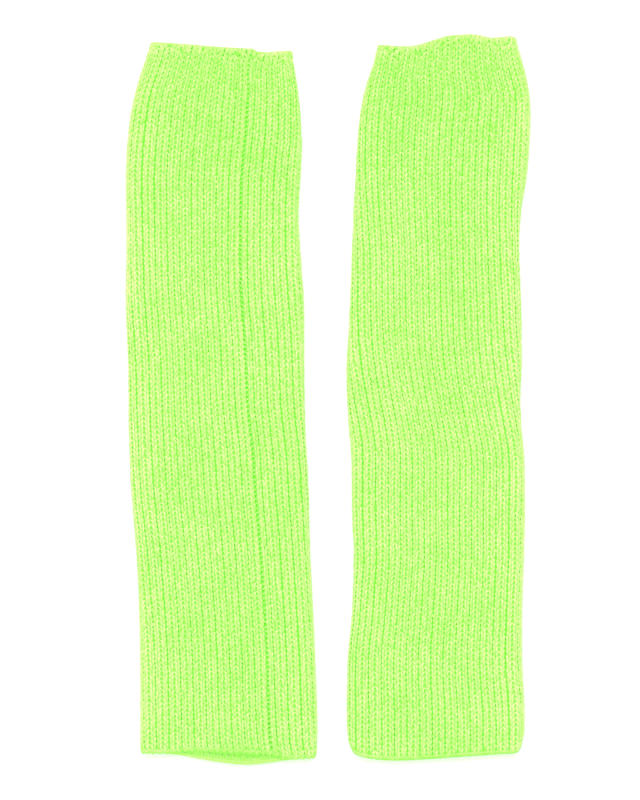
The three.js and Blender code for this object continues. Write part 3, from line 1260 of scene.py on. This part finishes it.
class Zone(Enum):
    """Where a piece's stitches lie."""

    SHOWN_UPPER = "stitches_above_upper_half"
    SHOWN_LOWER = "stitches_above_lower_half"
    LYING = "stitches_below"
    MOUTHS = "stitches_inside_mouths"
    EDGES = "edge_loops"
    SEAM = "seam_sewing"


class LegStation(NamedTuple):
    """One ring of a yarn leg.

    Attributes:
        run: Its place along the leg.
        lean: Its place across, towards the hook.
        lift: How far outwards it lies.
        girth: Its thickness, 0 for a point.
    """

    run: float
    lean: float
    lift: float
    girth: float


@dataclass(frozen=True)
class LegShape:
    """The shape of one leg of a knit stitch, in yarn widths, rows and millimetres.

    Attributes:
        sides: Faces round the yarn.
        half_width: Half width, in spaces between neighbouring legs.
        half_depth: Half thickness outwards, in millimetres.
        stations: Its rings from the lower end to the upper end.
    """

    sides: int = 4
    half_width: float = 0.52
    half_depth: float = KNIT.yarn_half
    stations: tuple[LegStation, ...] = (
        LegStation(-0.85, 0.05, -0.85, 0.0),
        LegStation(-0.4, -0.12, -0.2, 0.86),
        LegStation(0.1, -0.21, -0.05, 0.92),
        LegStation(0.46, -0.07, 0.1, 1.0),
        LegStation(0.7, 0.36, 0.05, 0.95),
        LegStation(0.82, 0.78, -0.7, 0.0),
    )

    def template(self, name: str, hand: Hand) -> bpy.types.Object:
        """Builds one leg as an object that the stitch tree copies.

        Args:
            name: The object's name.
            hand: Which way the leg's upper end hooks over.

        Returns:
            The template object.
        """
        shape = bmesh.new()
        uv = shape.loops.layers.uv.new("yarn")
        rings = []
        for station in self.stations:
            count = self.sides if station.girth else 1
            ring = []
            for k in range(count):
                angle = 2 * math.pi * k / self.sides + math.pi / 2
                x = station.lean * hand.value + math.cos(angle) * station.girth * self.half_width
                z = (station.lift + math.sin(angle) * station.girth) * self.half_depth
                ring.append(shape.verts.new((x, station.run, z)))
            rings.append(ring)
        for lower, upper, low, high in zip(rings, rings[1:], self.stations, self.stations[1:]):
            for k in range(self.sides):
                near = k / self.sides
                far = (k + 1) / self.sides
                corners = [
                    (lower[k % len(lower)], near, low.run),
                    (lower[(k + 1) % len(lower)], far, low.run),
                    (upper[(k + 1) % len(upper)], far, high.run),
                    (upper[k % len(upper)], near, high.run),
                ]
                kept = [c for i, c in enumerate(corners) if c[0] is not corners[i - 1][0]]
                face = shape.faces.new([corner[0] for corner in kept])
                face.smooth = True
                for loop, corner in zip(face.loops, kept):
                    loop[uv].uv = (corner[1], corner[2])
        bmesh.ops.recalc_face_normals(shape, faces=shape.faces)
        mesh = bpy.data.meshes.new(name)
        shape.to_mesh(mesh)
        shape.free()
        return bpy.data.objects.new(name, mesh)


FULL_LEG = LegShape()
SIMPLE_LEG = LegShape(stations=tuple(FULL_LEG.stations[i] for i in (0, 1, 3, 5)))
STRAIGHT_LOOP = LegShape(
    stations=(
        LegStation(-1.0, 0.0, -0.5, 0.0),
        LegStation(-0.85, 0.0, -0.1, 0.85),
        LegStation(0.0, 0.0, 0.0, 1.0),
        LegStation(0.85, 0.0, -0.1, 0.85),
        LegStation(1.0, 0.0, -0.5, 0.0),
    ),
)


@dataclass
class StitchPlan:
    """Where each yarn leg of one piece stands.

    Attributes:
        points: The legs' middles, in millimetres.
        outward: Their outward directions.
        along: The directions of their columns.
        size: Width between legs in millimetres, row height in millimetres, thickness factor.
        hand: Value of each leg's Hand.
        pallor: How much paler than usual each leg is, mostly painted light and shade.
    """

    points: np.ndarray
    outward: np.ndarray
    along: np.ndarray
    size: np.ndarray
    hand: np.ndarray
    pallor: np.ndarray

    def chosen(self, mask: np.ndarray) -> "StitchPlan":
        """Returns the plan of the legs that a mask keeps."""
        return StitchPlan(*(getattr(self, field.name)[mask] for field in fields(self)))

    @staticmethod
    def joined(plans: "list[StitchPlan]") -> "StitchPlan":
        """Returns several plans as one."""
        names = [field.name for field in fields(StitchPlan)]
        return StitchPlan(*(np.concatenate([getattr(plan, name) for plan in plans]) for name in names))


class StitchTree:
    """The Geometry Nodes tree that sets a yarn leg on every point of a plan."""

    INPUTS = (
        ("Geometry", "NodeSocketGeometry"),
        ("Falling leg", "NodeSocketObject"),
        ("Upright leg", "NodeSocketObject"),
        ("Rising leg", "NodeSocketObject"),
        ("Yarn", "NodeSocketMaterial"),
        ("Plumpness", "NodeSocketFloat"),
        ("Seed", "NodeSocketInt"),
    )

    def __init__(self) -> None:
        """Builds the tree once for all pieces."""
        self.tree = bpy.data.node_groups.new("set_stitches", "GeometryNodeTree")
        self.keys: dict[str, str] = {}
        for name, kind in self.INPUTS:
            socket = self.tree.interface.new_socket(name=name, in_out="INPUT", socket_type=kind)
            self.keys[name] = socket.identifier
        self.tree.interface.new_socket(name="Geometry", in_out="OUTPUT", socket_type="NodeSocketGeometry")
        book = NodeBook(self.tree)
        given = book.add("NodeGroupInput").outputs
        turn = book.add(
            "FunctionNodeAxesToRotation",
            {"primary_axis": "Z", "secondary_axis": "Y"},
            {0: self.attribute(book, "outward"), 1: self.attribute(book, "along")},
        )
        size = book.add(
            "ShaderNodeVectorMath",
            {"operation": "SCALE"},
            {0: self.attribute(book, "size"), "Scale": given["Plumpness"]},
        )
        hand = book.add("GeometryNodeInputNamedAttribute", {"data_type": "INT"}, {"Name": "hand"})
        laid = []
        for side in Hand:
            chosen = book.add(
                "FunctionNodeCompare",
                {"data_type": "INT", "operation": "EQUAL"},
                {2: hand.outputs["Attribute"], 3: side.value},
            ).outputs[0]
            leg = f"{side.name.capitalize()} leg"
            model = book.add("GeometryNodeObjectInfo", inputs={"Object": given[leg], "As Instance": True})
            legs = book.add(
                "GeometryNodeInstanceOnPoints",
                inputs={
                    "Points": given["Geometry"],
                    "Selection": chosen,
                    "Instance": model.outputs["Geometry"],
                    "Rotation": turn.outputs[0],
                    "Scale": size.outputs[0],
                },
            )
            laid.append(legs.outputs["Instances"])
        join = book.add("GeometryNodeJoinGeometry")
        for legs in laid:
            self.tree.links.new(legs, join.inputs["Geometry"])
        chance = book.add(
            "FunctionNodeRandomValue",
            {"data_type": "FLOAT"},
            {"Min": 0.0, "Max": 1.0, "Seed": given["Seed"]},
        )
        pallor = book.value(
            "GeometryNodeInputNamedAttribute", "Attribute", {"data_type": "FLOAT"}, {"Name": "pallor"}
        )
        # Each stitch's tone: a random difference from stitch to stitch added to its painted light and shade.
        tone = pallor + Scalar(book, chance.outputs["Value"])
        toned = book.add(
            "GeometryNodeStoreNamedAttribute",
            {"data_type": "FLOAT", "domain": "INSTANCE"},
            {"Geometry": join.outputs[0], "Name": "tone", "Value": tone},
        )
        real = book.add("GeometryNodeRealizeInstances", inputs={"Geometry": toned.outputs[0]})
        dressed = book.add(
            "GeometryNodeSetMaterial", inputs={"Geometry": real.outputs[0], "Material": given["Yarn"]}
        )
        book.add("NodeGroupOutput", inputs={"Geometry": dressed.outputs[0]})

    @staticmethod
    def attribute(book: NodeBook, name: str) -> bpy.types.NodeSocket:
        """Returns the socket of a named vector attribute."""
        kind = "GeometryNodeInputNamedAttribute"
        return book.add(kind, {"data_type": "FLOAT_VECTOR"}, {"Name": name}).outputs["Attribute"]

    def lay(
        self, name: str, plan: StitchPlan, shape: LegShape, yarn: bpy.types.Material, seed: int
    ) -> bpy.types.Object:
        """Sets the legs of one plan and returns them as one plain mesh object.

        Args:
            name: The piece's name.
            plan: Where the legs stand.
            shape: The shape of one leg.
            yarn: The yarn's material.
            seed: Seed of the stitches' tones.

        Returns:
            The piece.
        """
        guide = bpy.data.objects.new(f"{name}_guide", bpy.data.meshes.new(f"{name}_guide"))
        guide.data.from_pydata((plan.points * MM).tolist(), [], [])
        for key, values in (("outward", plan.outward), ("along", plan.along), ("size", plan.size * MM)):
            store = guide.data.attributes.new(key, "FLOAT_VECTOR", "POINT")
            store.data.foreach_set("vector", values.astype(np.float32).ravel())
        store = guide.data.attributes.new("hand", "INT", "POINT")
        store.data.foreach_set("value", plan.hand.astype(np.int32))
        store = guide.data.attributes.new("pallor", "FLOAT", "POINT")
        store.data.foreach_set("value", plan.pallor.astype(np.float32))
        bpy.context.collection.objects.link(guide)
        legs = [shape.template(f"{name}_{hand.name.lower()}_leg", hand) for hand in Hand]
        for leg in legs:
            bpy.context.collection.objects.link(leg)
        modifier = guide.modifiers.new("stitches", "NODES")
        modifier.node_group = self.tree
        for hand, leg in zip(Hand, legs):
            modifier[self.keys[f"{hand.name.capitalize()} leg"]] = leg
        modifier[self.keys["Yarn"]] = yarn
        modifier[self.keys["Plumpness"]] = 1.0
        modifier[self.keys["Seed"]] = seed
        graph = bpy.context.evaluated_depsgraph_get()
        mesh = bpy.data.meshes.new_from_object(guide.evaluated_get(graph), depsgraph=graph)
        mesh.name = name
        piece = bpy.data.objects.new(name, mesh)
        bpy.context.collection.objects.link(piece)
        for spent in (guide, *legs):
            data = spent.data
            bpy.data.objects.remove(spent)
            bpy.data.meshes.remove(data)
        return piece


# The leg warmers


@dataclass
class LegWarmer:
    """One leg warmer: its shell, stitches, edges and seam.

    Attributes:
        form: Its shape.
        seed: Seed of its small differences.
        cut_width: Width all round of the knitted panel, in metres; not used.
        cut_length: Length of the panel, in metres; not used.
        ring_spacing: Spacing of the shell's rings.
        rib_columns: Places of the shell's columns across one rib.
        seam_columns: Places of its columns across the single column beside the seam.
        lining_columns: Columns of one layer's plain inside.
        mouth_rows: How far inside the mouths each row of stitches lies.
        mouth_pitch: Width of one leg inside the mouths.
        mouth_end: From the edge to the tips of the first row.
        mouth_stray: How far a stitch there strays along the leg.
        mouth_sink: How deep the stitches there are sunk into the shell.
        mouth_girth: Their thickness.
        mouth_girth_stray: How much their thickness differs.
    """

    form: Form
    seed: int
    cut_width: float = 0.2
    cut_length: float = 0.4
    ring_spacing: float = 5.5
    rib_columns: tuple[float, ...] = (0.0, 0.1, 0.25, 0.5, 0.75, 0.9)
    seam_columns: tuple[float, ...] = (0.0, 0.2, 0.5, 0.8)
    lining_columns: int = 20
    mouth_rows: tuple[float, ...] = (1.3, 3.3, 6.0, 8.6, 11.3, 14.0, 16.6)
    mouth_pitch: float = 1.75
    mouth_end: float = 0.15
    mouth_stray: float = 0.45
    mouth_sink: float = 0.1
    mouth_girth: float = 0.7
    mouth_girth_stray: float = 0.1

    def levels(self) -> np.ndarray:
        """Returns the levels of the shell's rings.

        Returns:
            The levels, from the upper edge down.
        """
        band = BAND.height * np.array(BAND.rings)
        upper = self.form.upper_y - band
        lower = self.form.lower_y + band[::-1]
        count = round((upper[-1] - lower[0]) / self.ring_spacing)
        return np.concatenate([upper, np.linspace(upper[-1], lower[0], count + 1)[1:-1], lower])

    def rib_starts(self) -> list[float]:
        """Returns where each rib starts, in ribs round the tube."""
        return [rib + KNIT.seam_share * (rib >= self.form.seam_at) for rib in range(KNIT.ribs)]

    def columns(self) -> np.ndarray:
        """Returns the places of the shell's columns round the tube.

        Returns:
            The places in ribs, in order.
        """
        places = [start + part for start in self.rib_starts() for part in self.rib_columns]
        places += [self.form.seam_at + KNIT.seam_share * part for part in self.seam_columns]
        return np.array(sorted(places))

    def lining_shares(self) -> np.ndarray:
        """Returns the places of the plain inside's columns, as shares of one layer's width."""
        return (1 - np.cos(np.linspace(0, math.pi, self.lining_columns + 2))) / 2

    def shell(self, cloth: bpy.types.Material) -> bpy.types.Object:
        """Builds the closed shell that the stitches stand on.

        Args:
            cloth: Its material.

        Returns:
            The piece.
        """
        form = self.form
        levels = self.levels()
        columns = self.columns()
        share = self.lining_shares()
        lining = np.concatenate([share, share[-2:0:-1]])
        below = np.arange(len(lining)) >= len(share)
        outer = [form.skin(columns, np.full(len(columns), level), KNIT.cloth_depth) for level in levels]
        inner = [form.lining(lining, np.full(len(lining), level), below) for level in levels]
        outer_rings = np.arange(len(levels) * len(columns)).reshape(len(levels), -1)
        inner_rings = np.arange(len(levels) * len(lining)).reshape(len(levels), -1) + outer_rings.size
        faces = []
        for upper, lower in zip(outer_rings, outer_rings[1:]):
            faces += self.strip(upper, lower)
        for upper, lower in zip(inner_rings, inner_rings[1:]):
            faces += self.strip(lower, upper)
        faces += self.closing(form.upper_y, outer_rings[0], inner_rings[0])
        faces += [face[::-1] for face in self.closing(form.lower_y, outer_rings[-1], inner_rings[-1])]
        mesh = bpy.data.meshes.new(f"{form.side}_knit_cloth")
        mesh.from_pydata((np.concatenate(outer + inner) * MM).tolist(), [], faces)
        tone = self.shell_tone(len(lining)).astype(np.float32)
        mesh.attributes.new("tone", "FLOAT", "POINT").data.foreach_set("value", tone)
        mesh.materials.append(cloth)
        mesh.shade_smooth()
        mesh.update()
        piece = bpy.data.objects.new(mesh.name, mesh)
        bpy.context.collection.objects.link(piece)
        return piece

    def shell_tone(self, lining_count: int) -> np.ndarray:
        """Returns the tone of the shell, which follows the height of the ribs: painted shade that deepens
        into the grooves.

        Args:
            lining_count: Points in one ring of the plain inside.

        Returns:
            The tone of each point, the outside first.
        """
        columns = self.columns()
        levels = self.levels()
        edge = self.form.edge_share(levels) * TONE_AND_PAINTED_LIGHT.rim
        depth = np.concatenate([self.form.relief(columns, np.full(len(columns), level)) for level in levels])
        # Painted shade: the shell is deeper in tone the deeper it lies in a groove.
        height = np.clip(1 - depth / KNIT.groove, TONE_AND_PAINTED_LIGHT.deepest, 1)
        outside = TONE_AND_PAINTED_LIGHT.groove + (TONE_AND_PAINTED_LIGHT.crown - TONE_AND_PAINTED_LIGHT.groove) * height + np.repeat(edge, len(columns))
        return np.concatenate([outside, TONE_AND_PAINTED_LIGHT.inside + np.repeat(edge, lining_count)])

    @staticmethod
    def strip(upper: np.ndarray, lower: np.ndarray) -> list[tuple[int, ...]]:
        """Returns quads between two rings with the same columns.

        Args:
            upper: The points of the upper ring.
            lower: The points of the lower ring.

        Returns:
            The quads.
        """
        after = np.roll(upper, -1)
        after_lower = np.roll(lower, -1)
        return list(zip(upper.tolist(), lower.tolist(), after_lower.tolist(), after.tolist()))

    def closing(self, level: float, outer: np.ndarray, inner: np.ndarray) -> list[tuple[int, ...]]:
        """Returns triangles that close the shell at one open edge.

        Args:
            level: The edge's level.
            outer: The points of the outer ring.
            inner: The points of the inner ring.

        Returns:
            The triangles, facing up the leg.
        """
        columns = self.columns()
        section = self.form.section(np.array([level]))
        out_share = self.form.arc(section, columns, np.full(len(columns), level)) / section.round
        in_share = (section.quarter + self.lining_shares() * section.flat) / section.round
        in_share[0] = 0
        in_share[-1] = 0.5
        around = np.concatenate([in_share, 1 - in_share[-2:0:-1]])
        return self.rim(outer, out_share, inner, around)

    @staticmethod
    def rim(
        outer: np.ndarray, out_share: np.ndarray, inner: np.ndarray, in_share: np.ndarray
    ) -> list[tuple[int, ...]]:
        """Returns triangles between an outer and an inner ring with different columns.

        Args:
            outer: The outer ring.
            out_share: Each of its points' share of the way round.
            inner: The inner ring.
            in_share: Each of its points' share of the way round.

        Returns:
            The triangles, facing up the leg.
        """
        out = outer[np.argsort(out_share)].tolist()
        ins = inner[np.argsort(in_share)].tolist()
        out_share = np.append(np.sort(out_share), 1 + out_share.min())
        in_share = np.append(np.sort(in_share), 1 + in_share.min())
        faces = []
        i = 0
        j = 0
        while i < len(out) or j < len(ins):
            a = out[i % len(out)]
            b = ins[j % len(ins)]
            if j == len(ins) or (i < len(out) and out_share[i + 1] <= in_share[j + 1]):
                i += 1
                faces.append((a, out[i % len(out)], b))
            else:
                j += 1
                faces.append((ins[j % len(ins)], b, a))
        return faces

    def stance(self, ribs: np.ndarray, level: np.ndarray, depth: float) -> tuple[np.ndarray, ...]:
        """Returns points on the ribbed outside with their own directions.

        Args:
            ribs: Places round the tube.
            level: Levels along the leg.
            depth: How far below the ribbed outside the points lie.

        Returns:
            Points, outward and along directions, width of a rib and stretch along the leg.
        """
        form = self.form
        step = 0.09
        rise = 1.0
        across = form.skin(ribs + step, level, depth) - form.skin(ribs - step, level, depth)
        along = form.skin(ribs, level + rise, depth) - form.skin(ribs, level - rise, depth)
        outward = np.cross(across, along)
        length = np.linalg.norm(along, axis=1)
        patch = np.linalg.norm(outward, axis=1)
        outward /= patch[:, None]
        along /= length[:, None]
        width = patch / length / (2 * step)
        return form.skin(ribs, level, depth), outward, along, width, length / (2 * rise)

    def field(self) -> tuple[StitchPlan, np.ndarray, np.ndarray]:
        """Plans the knit stitches of the whole outside.

        Returns:
            The plan, and for each leg its level and whether it is on the back layer.
        """
        form = self.form
        chance = np.random.default_rng(self.seed)
        places = [start + column.place for start in self.rib_starts() for column in RIB_LEGS]
        places += [form.seam_at + KNIT.seam_share * column.place for column in SEAM_LEGS]
        columns = [*RIB_LEGS * KNIT.ribs, *SEAM_LEGS]
        low = form.lower_y + KNIT.tip - KNIT.course / 2
        high = form.upper_y - KNIT.tip + KNIT.course / 2
        count = round((high - low) / KNIT.course)
        course = (high - low) / count
        ribs = np.tile(places, count)
        level = np.repeat(low + (np.arange(count) + 0.5) * course, len(places))
        kinds = np.array([(column.place, column.lean, column.girth, column.pallor) for column in columns])
        part, lean, girth, pallor = np.tile(kinds.T, count)
        hand = np.tile([column.hand.value for column in columns], count)
        stitch = np.tile(np.arange(len(places)) // 2, count)
        shift = chance.uniform(-UNEVEN.column_shift, UNEVEN.column_shift, len(places) // 2)
        level = level + shift[stitch] * course + sum(wave.at(ribs, level) for wave in UNEVEN.waves)
        level = level + chance.normal(0, UNEVEN.place, len(level)) * course
        crowded = 1 - smooth_step(UNEVEN.crowded_to, UNEVEN.even_from, form.upper_y - level)
        level = level + chance.normal(0, UNEVEN.crowd_stray, len(level)) * course * crowded
        beside_groove = np.abs(part - 0.5) > LEG_WIDTH
        level = level + np.where(beside_groove, KNIT.stagger * course, 0)
        level = np.clip(level, form.lower_y + KNIT.tip, form.upper_y - KNIT.tip)
        ribs = ribs + chance.normal(0, UNEVEN.place * LEG_WIDTH, len(ribs))
        shut = KNIT.closing * (1 - form.openness(ribs, level))
        ribs = ribs + np.where(beside_groove, shut * np.sign(part - 0.5), 0)
        from_seam = ribs - form.seam_at
        beside = hump(np.maximum(np.abs(from_seam) - KNIT.parting_to, 0), KNIT.parting_half)
        ribs = ribs + np.sign(from_seam) * beside * KNIT.seam_parting
        points, outward, along, width, stretch = self.stance(ribs, level, KNIT.yarn_half - KNIT.standing)
        lean = np.radians(lean) + chance.normal(0, UNEVEN.lean, len(lean))
        lean = lean + chance.normal(0, UNEVEN.crowd_stray, len(lean)) * crowded
        along = self.leaned(along, outward, lean)
        plump = chance.normal(1, UNEVEN.girth, len(level))
        girth = girth * (1 + UNEVEN.crowd_girth * crowded)
        size = np.column_stack([width * LEG_WIDTH * plump * girth, course * stretch, plump])
        plan = StitchPlan(points, outward, along, size, hand, form.pallor(points) + pallor)
        return plan, level, form.below(ribs, level)

    @staticmethod
    def leaned(along: np.ndarray, outward: np.ndarray, lean: np.ndarray) -> np.ndarray:
        """Returns directions turned in the cloth by lean radians, clockwise from outside."""
        across = np.cross(along, outward)
        return along * np.cos(lean)[:, None] + across * np.sin(lean)[:, None]

    def mouths(self) -> StitchPlan:
        """Plans the stitches on the inside near both openings.

        Returns:
            Their plan.
        """
        chance = np.random.default_rng(self.seed + 3)
        plans = []
        for edge, inward in ((self.form.upper_y, -1), (self.form.lower_y, 1)):
            for row in self.mouth_rows:
                for below in (False, True):
                    plan = self.mouth_row(edge + inward * row, row - self.mouth_end, below, chance)
                    # Painted light at the openings, fading into painted shade further inside.
                    plan.pallor += TONE_AND_PAINTED_LIGHT.mouths - TONE_AND_PAINTED_LIGHT.inward * row
                    plans.append(plan)
        return StitchPlan.joined(plans)

    def mouth_row(self, level: float, room: float, below: bool, chance: np.random.Generator) -> StitchPlan:
        """Plans one row of the plain inside.

        Args:
            level: The row's level along the leg.
            room: From the row towards the edge, how far its legs may reach.
            below: Whether the row is on the back layer.
            chance: Where the small differences come from.

        Returns:
            The row's plan.
        """
        form = self.form
        width = form.section(np.array([level])).flat[0]
        legs = round(width / self.mouth_pitch)
        share = (np.arange(legs) + 0.5) / legs
        length = min(KNIT.course, room / KNIT.leg_reach)
        spare = max(room - length * KNIT.leg_reach, 0)
        stray = np.clip(chance.normal(0, self.mouth_stray, legs // 2 + 1), -spare, spare)
        at = level + np.repeat(stray, 2)[:legs]
        side = np.full(legs, below)
        step = 0.01
        rise = 1.0
        points = form.lining(share, at, side)
        along = form.lining(share, at + rise, side) - form.lining(share, at - rise, side)
        across = form.lining(share + step, at, side) - form.lining(share - step, at, side)
        outward = np.cross(across, along) * (1 if below else -1)
        outward /= np.linalg.norm(outward, axis=1, keepdims=True)
        along /= np.linalg.norm(along, axis=1, keepdims=True)
        girth = chance.normal(self.mouth_girth, self.mouth_girth_stray, legs)
        size = np.column_stack([np.full(legs, width / legs), np.full(legs, length), girth])
        hand = np.where(np.arange(legs) % 2, Hand.FALLING.value, Hand.RISING.value)
        pallor = form.pallor(points)
        return StitchPlan(points - outward * self.mouth_sink, outward, along, size, hand, pallor)

    def edges(self) -> StitchPlan:
        """Plans the long smooth loops of both edges.

        Returns:
            Their plan.
        """
        form = self.form
        chance = np.random.default_rng(self.seed + 1)
        plans = []
        for edge, inward, loops, scallop in (
            (form.upper_y, -1, BAND.upper_loops, 0.0),
            (form.lower_y, 1, BAND.lower_loops, form.scallop),
        ):
            part = (np.arange(KNIT.ribs * loops) % loops + 0.5) / loops
            beside = (np.arange(loops // 2) + 0.5) / (loops // 2)
            columns = np.repeat(self.rib_starts(), loops) + part
            columns = np.append(columns, form.seam_at + KNIT.seam_share * beside)
            count = len(columns)
            foremost = np.arange(count) % BAND.foremost_of == 1
            front = ~form.below(columns, np.full(count, edge))
            reach = scallop * front * (foremost - BAND.back_share) + chance.normal(0, BAND.stray, count)
            level = edge + inward * (BAND.height / 2 - reach)
            points, outward, along, width, stretch = self.stance(columns, level, KNIT.yarn_half)
            breadth = width * BAND.overlap / loops
            length = BAND.height * BAND.loop_half * stretch
            size = np.column_stack([breadth, length, np.full(count, BAND.loop_girth)])
            hand = np.full(count, Hand.UPRIGHT.value)
            pallor = form.pallor(points) - TONE_AND_PAINTED_LIGHT.edges
            plans.append(StitchPlan(points, outward, along, size, hand, pallor))
        return StitchPlan.joined(plans)

    def sewing(self) -> StitchPlan:
        """Plans the seam's short threads, which cross its groove once a row.

        Returns:
            Their plan.
        """
        form = self.form
        chance = np.random.default_rng(self.seed + 2)
        low = form.lower_y + SEWING.end
        high = form.upper_y - SEWING.end
        count = round((high - low) / KNIT.course)
        level = low + (np.arange(count) + 0.5) * (high - low) / count
        level = level + chance.normal(0, SEWING.stray, count)
        ribs = np.full(count, form.seam_at + SEWING.beside)
        points, outward, along, _, _ = self.stance(ribs, level, -SEWING.lift)
        slant = chance.normal(SEWING.slant, SEWING.slant_stray, count)[:, None]
        run = np.cross(along, outward) - slant * along
        run /= np.linalg.norm(run, axis=1, keepdims=True)
        size = np.tile([SEWING.width, SEWING.half_length, SEWING.girth], (count, 1))
        pallor = form.pallor(points) + TONE_AND_PAINTED_LIGHT.seam
        return StitchPlan(points, outward, run, size, np.full(count, Hand.UPRIGHT.value), pallor)

    @staticmethod
    def press_flat(piece: bpy.types.Object) -> None:
        """Presses what would lie below the floor flat on it.

        Args:
            piece: The piece, which is changed.
        """
        mesh = piece.data
        places = np.empty(len(mesh.vertices) * 3, dtype=np.float32)
        mesh.vertices.foreach_get("co", places)
        places = places.reshape(-1, 3)
        places[:, 2] = np.maximum(places[:, 2], 0)
        mesh.vertices.foreach_set("co", places.ravel())
        mesh.update()

    def build(self, tree: StitchTree, yarn: bpy.types.Material, cloth: bpy.types.Material) -> None:
        """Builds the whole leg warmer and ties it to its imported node.

        Args:
            tree: The tree that sets stitches.
            yarn: The stitches' material.
            cloth: The shell's material.
        """
        side = self.form.side
        shell = self.shell(cloth)
        plan, level, below = self.field()
        upper = level > (self.form.upper_y + self.form.lower_y) / 2
        laid = (
            (Zone.SHOWN_UPPER, plan.chosen(~below & upper), FULL_LEG),
            (Zone.SHOWN_LOWER, plan.chosen(~below & ~upper), FULL_LEG),
            (Zone.LYING, plan.chosen(below), SIMPLE_LEG),
            (Zone.MOUTHS, self.mouths(), SIMPLE_LEG),
            (Zone.EDGES, self.edges(), STRAIGHT_LOOP),
            (Zone.SEAM, self.sewing(), STRAIGHT_LOOP),
        )
        stitches = []
        for number, (zone, legs, shape) in enumerate(laid):
            piece = tree.lay(f"{side}_{zone.value}", legs, shape, yarn, self.seed * SEED_STEP + number)
            self.press_flat(piece)
            stitches.append(piece)
        for piece in (shell, *stitches):
            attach(piece, BODY)
            LOG.info("%s: %d faces", piece.name, len(piece.data.polygons))
        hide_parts(f"{side}_leg_warmer")


# The studio


class Lamp(NamedTuple):
    """A soft rectangular light that faces the middle of the pair.

    Attributes:
        name: Its name.
        place: Where it stands, in metres.
        size: Its width and height, in metres.
        power: Its power in watts.
    """

    name: str
    place: Place
    size: tuple[float, float]
    power: float


@dataclass(frozen=True)
class Studio:
    """Floor, light and camera.

    Attributes:
        frame_height: Height of the picture at the cloth, in metres.
        centre: Middle of the picture on the floor, in metres.
        distance: From the cloth to the camera, in metres.
        cloth_height: Height of the cloth above the floor, in metres.
        sensor: Width of the camera's sensor in millimetres.
        floor_half: Half width of the floor, in metres.
        floor_drop: How far the floor lies below the cloth, in metres.
        surroundings: Strength of the pale light from all round.
        lamps: The lights.
    """

    frame_height: float = 0.4504
    centre: tuple[float, float] = (-0.00457, 0.0)
    distance: float = 2.4
    cloth_height: float = 0.007
    sensor: float = 36.0
    floor_half: float = 8.0
    floor_drop: float = 0.0002
    surroundings: float = 0.8
    lamps: tuple[Lamp, ...] = (
        Lamp("soft_light_above_head", (0.0, 1.5, 2.0), (2.2, 1.4), 58.0),
        Lamp("soft_light_side", (-1.8, -0.4, 2.2), (1.6, 1.6), 16.0),
        Lamp("soft_light_low", (0.3, -1.9, 1.0), (2.0, 0.8), 16.0),
    )

    def floor(self) -> None:
        """Lays the floor."""
        mesh = bpy.data.meshes.new("floor")
        r = self.floor_half
        mesh.from_pydata([(-r, -r, 0), (r, -r, 0), (r, r, 0), (-r, r, 0)], [], [(0, 1, 2, 3)])
        mesh.materials.append(PaperFinish().material())
        floor = bpy.data.objects.new("floor", mesh)
        floor.location.z = -self.floor_drop
        bpy.context.collection.objects.link(floor)

    def lights(self) -> None:
        """Adds the lights and the pale surroundings."""
        for lamp in self.lamps:
            light = bpy.data.lights.new(lamp.name, "AREA")
            light.shape = "RECTANGLE"
            light.size, light.size_y = lamp.size
            light.energy = lamp.power
            stand = bpy.data.objects.new(lamp.name, light)
            stand.location = lamp.place
            x, y, z = lamp.place
            stand.rotation_euler = (math.atan2(math.hypot(x, y), z), 0, math.atan2(x, -y))
            bpy.context.collection.objects.link(stand)
        world = bpy.data.worlds.new("surroundings")
        world.use_nodes = True
        book = NodeBook(world.node_tree)
        inputs = {"Color": (1, 1, 1, 1), "Strength": self.surroundings}
        shade = book.add("ShaderNodeBackground", inputs=inputs)
        book.add("ShaderNodeOutputWorld", inputs={"Surface": shade.outputs[0]})
        bpy.context.scene.world = world
        bpy.context.scene.view_settings.view_transform = "Standard"

    def camera(self) -> None:
        """Sets the camera straight above the pair."""
        data = bpy.data.cameras.new("camera")
        data.sensor_width = self.sensor
        data.lens = self.sensor * self.distance / self.frame_height
        camera = bpy.data.objects.new("camera", data)
        camera.location = (*self.centre, self.distance + self.cloth_height)
        bpy.context.collection.objects.link(camera)
        bpy.context.scene.camera = camera


def main() -> None:
    """Builds the studio and both leg warmers."""
    studio = Studio()
    studio.floor()
    studio.lights()
    studio.camera()
    tree = StitchTree()
    yarn = YARN.material()
    cloth = SHADED_GROUND.material()
    for form, seed in ((LEFT_FORM, 3), (RIGHT_FORM, 7)):
        LegWarmer(form, seed).build(tree, yarn, cloth)
        LOG.info("%s leg warmer built", form.side)


if __name__ == "__main__":
    main()
